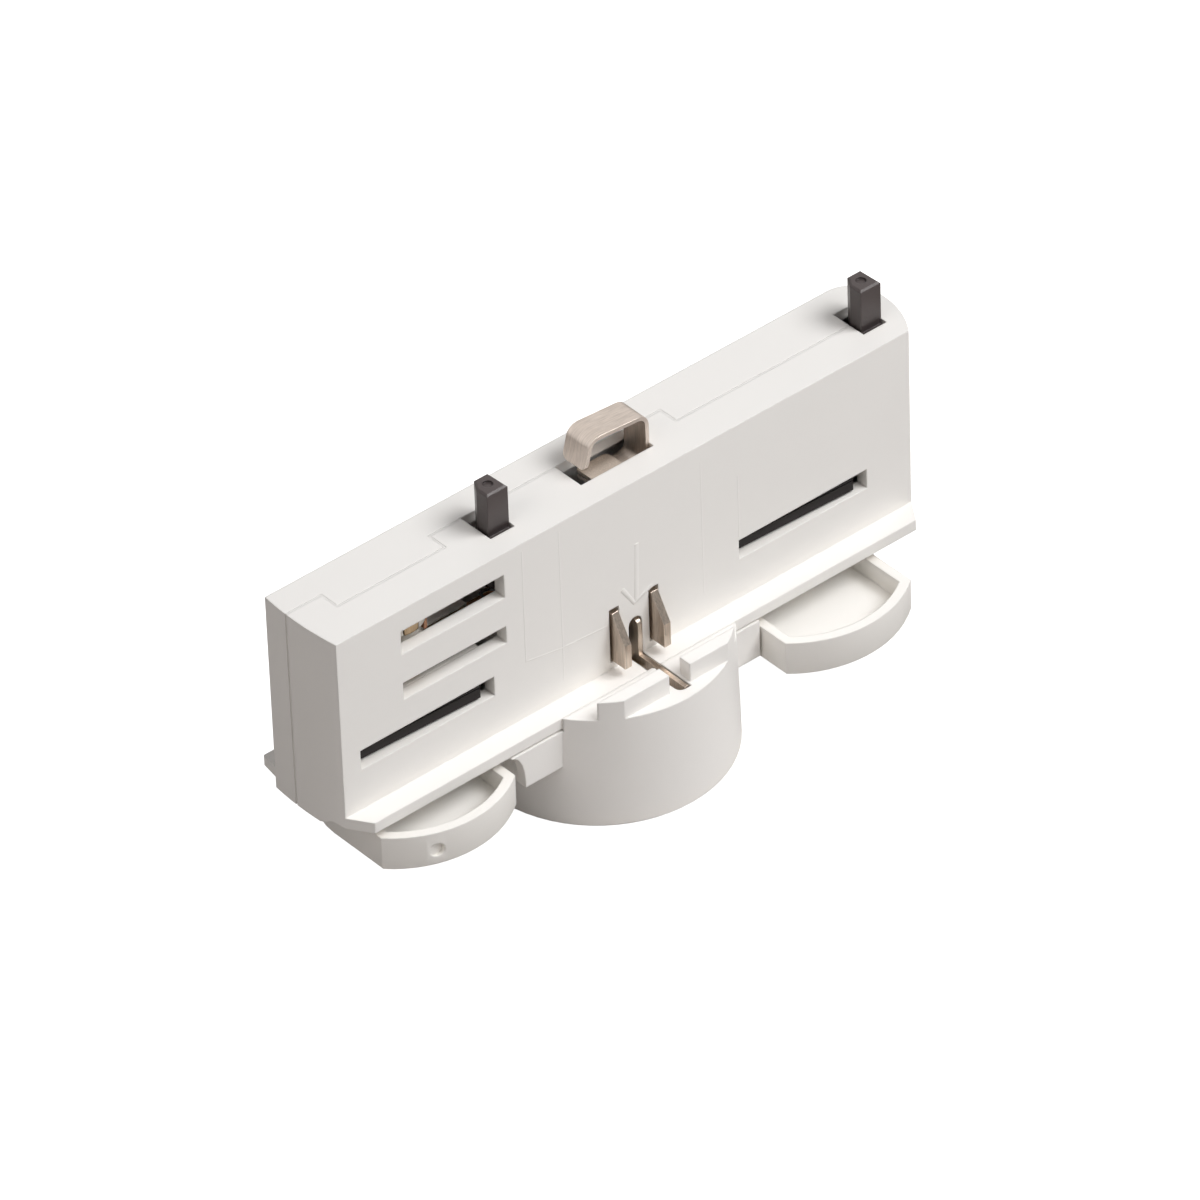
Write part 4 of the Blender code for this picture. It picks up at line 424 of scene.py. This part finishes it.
def metal_finish(name, color, rough, stretch, radius, depth):
    """A metal with lines; stretch says which way they run and depth how deep they are."""
    made = bpy.data.materials.new(name)
    made.use_nodes = True
    tree = made.node_tree
    shader = tree.nodes["Principled BSDF"]
    shader.inputs["Metallic"].default_value = 1.0
    place = add_node(tree, "ShaderNodeTexCoord").outputs["Object"]
    strip = add_node(tree, "ShaderNodeGroup", {"node_tree": rolled_lines}, Coordinates=place,
                     Stretch=stretch)
    edge = add_node(tree, "ShaderNodeGroup", {"node_tree": soft_edge}, Radius=radius)
    dull = tuple(value * DULL_SHARE for value in color)
    # bright is the colour of the painted highlight along edges.
    bright = tuple(min(1.0, value * EDGE_HIGHLIGHT_SHARE) for value in color)
    streaks = add_node(tree, "ShaderNodeMapRange", Value=strip.outputs["Height"],
                       From_Min=LINES_FROM, From_Max=LINES_TO)
    base = add_node(tree, "ShaderNodeMix", {"data_type": "RGBA"}, _0=streaks.outputs[0],
                    _6=(*dull, 1.0), _7=(*color, 1.0))
    cloudy = add_node(tree, "ShaderNodeMix", {"data_type": "RGBA", "blend_type": "MULTIPLY"},
                      _0=strip.outputs["Stain"], _6=base.outputs[2], _7=STAIN)
    # Painted highlight: stamped edges are painted brighter.
    painted_highlight = add_node(tree, "ShaderNodeMix", {"data_type": "RGBA"}, _0=edge.outputs["Edge"],
                    _6=cloudy.outputs[2], _7=(*bright, 1.0))
    tree.links.new(painted_highlight.outputs[2], shader.inputs["Base Color"])
    gloss = add_node(tree, "ShaderNodeMapRange", Value=strip.outputs["Height"],
                     To_Min=rough + BETWEEN_LINES, To_Max=rough + ON_LINES)
    tree.links.new(gloss.outputs[0], shader.inputs["Roughness"])
    bump = add_node(tree, "ShaderNodeBump", Strength=LINE_STRENGTH, Distance=depth,
                    Height=strip.outputs["Height"], Normal=edge.outputs["Normal"])
    tree.links.new(bump.outputs[0], shader.inputs["Normal"])
    return made


print("metal_finish ready")

# %% [markdown]
# Seven metals come from it. The lines of the claws and contacts run upward, those of the
# copper strips run along the housing, and those of the bow follow its bend. Each row holds
# the name, the tint, the roughness, the run of the lines, the edge radius and their depth.

# %% Metals
ALONG_X, ALONG_Z = (300.0, 4500.0, 4500.0), (4500.0, 4500.0, 300.0)
ROUND_THE_BOW = (400.0, 9000.0, 400.0)
FINE_LINES, BOW_LINES = 0.01 * MM, 0.02 * MM
metals = [
    ("nickel", (0.74, 0.64, 0.55), 0.32, ALONG_Z, 0.10 * MM, FINE_LINES),
    ("bow_nickel", (0.80, 0.71, 0.64), 0.36, ROUND_THE_BOW, 0.12 * MM, BOW_LINES),
    ("bronze", (0.60, 0.45, 0.29), 0.40, ALONG_Z, 0.08 * MM, FINE_LINES),
    ("copper", (0.72, 0.40, 0.26), 0.34, ALONG_X, 0.08 * MM, FINE_LINES),
    ("brass", (0.72, 0.56, 0.30), 0.30, ALONG_Z, 0.15 * MM, FINE_LINES),
    ("steel", (0.56, 0.56, 0.57), 0.34, ALONG_Z, 0.12 * MM, FINE_LINES),
    ("spring_steel", (0.48, 0.48, 0.50), 0.28, ALONG_X, 0.05 * MM, FINE_LINES),
]
for name, *numbers in metals:
    finishes[name] = metal_finish(name, *numbers)
print("finishes in all:", len(finishes))

# %% [markdown]
# Each solid takes the finish that its record names, apart from the pins and the bow, which
# have their own. The solids are made of small flats, so curved walls are shaded smooth up to
# a limit angle. Only how a face is shaded changes: every point of the solid stays where it is.

# %% Dress the solids
SAME_POINT = 0.002 * MM
SOLID_CREASE = radians(30)
slot_of = {entry["node"]: entry["material_slot"] for entry in frame["record"]["subparts"]}
own_finish = {
    "interlock_pin_left": "black_pin",
    "interlock_pin_right": "black_pin",
    "earth_bow": "bow_nickel",
}
for name, solid in frame["nodes"].items():
    solid.data.materials.clear()
    solid.data.materials.append(finishes[own_finish.get(name, slot_of[name])])
    weld = solid.modifiers.new("weld", "WELD")
    weld.merge_threshold = SAME_POINT
    smooth = solid.modifiers.new("smooth", "EDGE_SPLIT")
    smooth.split_angle = SOLID_CREASE
    solid.data.shade_smooth()
print("dressed", len(frame["nodes"]), "solids")

# %% [markdown]
# Some things are too fine for the solids and are added as pieces of their own. Each is drawn
# as a mesh, gets a finish and soft edges, and rides on the body that carries it, so it moves
# with that body's joint.

# %% Helper for new pieces
PIECE_CREASE = radians(35)


def new_piece(name, form, finish, body, rounding=0.0):
    """Make an object of a bmesh, give it a finish and soft edges, and let it ride on a body."""
    mesh = bpy.data.meshes.new(name)
    bmesh.ops.recalc_face_normals(form, faces=form.faces)
    form.to_mesh(mesh)
    form.free()
    piece = bpy.data.objects.new(name, mesh)
    bpy.context.scene.collection.objects.link(piece)
    mesh.materials.append(finishes[finish])
    if rounding:
        soft = piece.modifiers.new("soft_edges", "BEVEL")
        soft.width = rounding
        soft.segments = 2
    mesh.shade_smooth()
    mesh.set_sharp_from_angle(angle=PIECE_CREASE)
    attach(piece, body)
    return piece


print("new_piece ready")

# %% [markdown]
# Lips and ledges are narrow upright walls. The helper follows their centre line in plan and
# mitres each corner, so the wall keeps its thickness round the bend.

# %% Helper for upright walls


def wall_along(form, path, thick, low, high):
    """Add an upright wall to a bmesh; path is its centre line in plan, all in millimetres."""
    centre = [Vector(point) for point in path]
    sides = ([], [])
    for index, point in enumerate(centre):
        before = (point - centre[index - 1]).normalized() if index else None
        after = (centre[index + 1] - point).normalized() if index < len(centre) - 1 else None
        before, after = before or after, after or before
        across = Vector((-before.y - after.y, before.x + after.x)).normalized()
        reach = thick / 2 / across.dot(Vector((-after.y, after.x)))
        for side, sign in zip(sides, (1, -1)):
            side.append(point + across * reach * sign)
    outline = sides[0] + sides[1][::-1]
    rings = [[form.verts.new(at(x, y, z)) for x, y in outline] for z in (low, high)]
    form.faces.new(rings[0])
    form.faces.new(rings[1][::-1])
    for index in range(len(outline)):
        after = (index + 1) % len(outline)
        form.faces.new((rings[0][index], rings[1][index], rings[1][after], rings[0][after]))


print("wall_along ready")

# %% [markdown]
# The two halves of the housing really touch: each has a thin lip that closes the joint, so
# the seam shows as a hairline. The solids keep a gap of 0.3 mm there, and a narrow wall set
# into it, a touch below the surface, stands for the lip. On the top it steps round the tabs
# of the rear half and stops at the holes of the pins and the bow.

# %% Lip that closes the seam
TOP, BARREL_LOW = 48.8, 15.8
SEAM_Y, TAB_Y = 2.5, -0.85
LEFT_END, RIGHT_END, END_WALL = -52.25, 54.85, 1.25
LEFT_TAB_START, LEFT_TAB_STOP, RIGHT_TAB_START = -46.10, -27.0, 14.75
LEFT_PIN_HOLE, BOW_HOLE, RIGHT_PIN_HOLE = (-21.3, -16.9), (-4.4, 8.85), (46.9, 51.3)
LIP, LIP_HEIGHT, LIP_SUNK = 0.28, 1.5, 0.02
top_runs = [
    [(LEFT_END, SEAM_Y), (LEFT_TAB_START, SEAM_Y), (LEFT_TAB_START, TAB_Y),
     (LEFT_TAB_STOP, TAB_Y), (LEFT_TAB_STOP, SEAM_Y), (LEFT_PIN_HOLE[0], SEAM_Y)],
    [(LEFT_PIN_HOLE[1], SEAM_Y), (BOW_HOLE[0], SEAM_Y)],
    [(BOW_HOLE[1], SEAM_Y), (RIGHT_TAB_START, SEAM_Y), (RIGHT_TAB_START, TAB_Y),
     (RIGHT_PIN_HOLE[0], TAB_Y)],
    [(RIGHT_PIN_HOLE[1], SEAM_Y), (RIGHT_END, SEAM_Y)],
]
seam_form = bmesh.new()
for run in top_runs:
    wall_along(seam_form, run, LIP, TOP - LIP_HEIGHT, TOP - LIP_SUNK)
for outer, inner in ((LEFT_END, LEFT_END + END_WALL), (RIGHT_END, RIGHT_END - END_WALL)):
    wall_along(seam_form, [(outer, SEAM_Y), (inner, SEAM_Y)], LIP, BARREL_LOW, TOP - LIP_HEIGHT)
new_piece("seam_lip", seam_form, "white_housing", "housing")
print("seam lip:", len(top_runs), "runs on the top and one at each end")

# %% [markdown]
# The foot meets the flange with the same gap, and gets the same kind of lip. In front it
# leaves room for the metal strip that runs out over the foot.

# %% Lip round the foot
FLANGE_TOP, FOOT_LIP_LOW = 18.6, 16.7
FOOT_LIP_Y, FOOT_LIP_HALF = 11.05, 15.8
STRIP_START, STRIP_STOP = 0.7, 2.2
foot_runs = [
    (-FOOT_LIP_Y, -FOOT_LIP_HALF, STRIP_START),
    (-FOOT_LIP_Y, STRIP_STOP, FOOT_LIP_HALF),
    (FOOT_LIP_Y, -FOOT_LIP_HALF, FOOT_LIP_HALF),
]
foot_form = bmesh.new()
for y, left, right in foot_runs:
    wall_along(foot_form, [(left, y), (right, y)], LIP, FOOT_LIP_LOW, FLANGE_TOP)
new_piece("foot_lip", foot_form, "white_foot", "housing")
print("foot lip:", len(foot_runs), "runs")

# %% [markdown]
# The mould that made the housing was itself put together from inserts. Where two inserts met,
# the face carries a line only a few hundredths of a millimetre high. An arrow is raised on it
# too and points at the earth claws. Both are beads: a curve with a round section, laid on the
# face and then pressed nearly flat. Their finish is the housing's own with a far smaller edge
# radius: with the housing's, the Bevel node reaches past so thin a bead and it turns dark.

# %% Helper for raised lines on the face
FACE_Y = -7.35
SAME_BEAD_POINT = 0.0005 * MM


def face_bead(name, lines, half_width, proud):
    """A bead along lines of (x, z) points; all sizes are in millimetres."""
    data = bpy.data.curves.new(name, "CURVE")
    data.dimensions = "3D"
    data.bevel_depth = half_width * MM
    data.bevel_resolution = 2
    data.use_fill_caps = True
    for line in lines:
        spline = data.splines.new("POLY")
        spline.points.add(len(line) - 1)
        for point, (x, z) in zip(spline.points, line):
            point.co = (*at(x, FACE_Y, z), 1.0)
    guide = bpy.data.objects.new(name + "_guide", data)
    bpy.context.scene.collection.objects.link(guide)
    mesh = bpy.data.meshes.new_from_object(guide.evaluated_get(bpy.context.evaluated_depsgraph_get()))
    bpy.data.objects.remove(guide)
    form = bmesh.new()
    form.from_mesh(mesh)
    bpy.data.meshes.remove(mesh)
    bmesh.ops.remove_doubles(form, verts=form.verts, dist=SAME_BEAD_POINT)
    face = at(0, FACE_Y, 0).y
    for vert in form.verts:
        vert.co.y = face + (vert.co.y - face) * proud / half_width
    return new_piece(name, form, "white_bead", "housing")


print("face_bead ready")

# %% [markdown]
# The lines lie where the inserts for the slots and the claws ended. The arrow is a shaft and
# a head of two strokes, wider and higher than the lines.

# %% Insert lines and arrow
LINE_HALF_WIDTH, LINE_PROUD = 0.14, 0.030
ARROW_HALF_WIDTH, ARROW_PROUD = 0.40, 0.09
insert_lines = [
    [(-18.8, 47.4), (-18.85, 28.2), (-12.4, 27.1), (-3.9, 26.5)],
    [(-12.2, 47.4), (-12.2, 21.2)],
    [(13.5, 46.0), (13.5, 22.9)],
    [(20.2, 40.0), (20.2, 29.2)],
]
face_bead("insert_lines", insert_lines, LINE_HALF_WIDTH, LINE_PROUD)
arrow_lines = [[(1.55, 38.0), (1.2, 28.3)], [(-1.3, 31.4), (0.8, 28.0), (4.1, 29.4)]]
face_bead("earth_arrow", arrow_lines, ARROW_HALF_WIDTH, ARROW_PROUD)
print("lines on the face:", len(insert_lines), "and an arrow")

# %% [markdown]
# Through the two upper slots one looks at the drum that the left lever turns. Its wall carries
# a bronze band between a white post and a white wedge; the band is the bronze contact and
# also a dark piece put in for the shade of the recess in the drum. These pieces ride on the
# lever's body, so they turn with it, and they stay inside the circle that the housing leaves
# free.

# %% Helper for the drum
DRUM_AXIS = -36.55
DRUM_INNER, DRUM_OUTER = 4.25, 5.0
DRUM_STEP = 6
DRUM_EDGE = 0.08 * MM


def drum_segment(name, first, last, low, high, finish):
    """A piece of the drum's wall, from one angle to another; 0 degrees is the front."""
    steps = max(2, round((last - first) / DRUM_STEP))
    arc = [radians(first + (last - first) * step / steps) for step in range(steps + 1)]
    outline = [
        (DRUM_AXIS + radius * sin(angle), -radius * cos(angle))
        for radius, run in ((DRUM_OUTER, arc), (DRUM_INNER, arc[::-1]))
        for angle in run
    ]
    form = bmesh.new()
    floor_ring = form.faces.new([form.verts.new(at(x, y, low)) for x, y in outline])
    grown = bmesh.ops.extrude_face_region(form, geom=[floor_ring])["geom"]
    risen = [vert for vert in grown if isinstance(vert, bmesh.types.BMVert)]
    bmesh.ops.translate(form, verts=risen, vec=(0, 0, (high - low) * MM))
    return new_piece(name, form, finish, "contact_control", DRUM_EDGE)


print("drum_segment ready")

# %% [markdown]
# From the left there are the post, the band and the wedge, once for each slot. Their angles
# were read through the camera, where the slots leave a view of them. Under the middle slot
# the housing has a ledge, which shows as a thin light line.

# %% Drum pieces and ledge
SLOT_LEVELS = (("upper", 41.5, 44.8), ("middle", 33.65, 35.85))
for level, low, high in SLOT_LEVELS:
    drum_segment("drum_post_" + level, -70, -17, low, high, "white_rotor")
    # The bronze band is the contact and also painted shade for the dark recess in the drum.
    drum_segment("contact_and_shade_band_" + level, -15, 14, low, high, "bronze")
    drum_segment("drum_wedge_" + level, 16, 50, low, high, "white_rotor")

LEDGE_LEFT, LEDGE_RIGHT, LEDGE_Y = -41.2, -25.4, -4.82
LEDGE_THICK, LEDGE_LOW, LEDGE_HIGH, LEDGE_EDGE = 0.76, 32.3, 33.25, 0.06 * MM
ledge_form = bmesh.new()
ledge_run = [(LEDGE_LEFT, LEDGE_Y), (LEDGE_RIGHT, LEDGE_Y)]
wall_along(ledge_form, ledge_run, LEDGE_THICK, LEDGE_LOW, LEDGE_HIGH)
new_piece("slot_ledge", ledge_form, "white_housing", "housing", LEDGE_EDGE)
print("drum pieces made for", len(SLOT_LEVELS), "slots, and the ledge")

# %% Size of the solids
print("box of the solids", [[round(v * 1000, 2) for v in corner] for corner in cad_box])
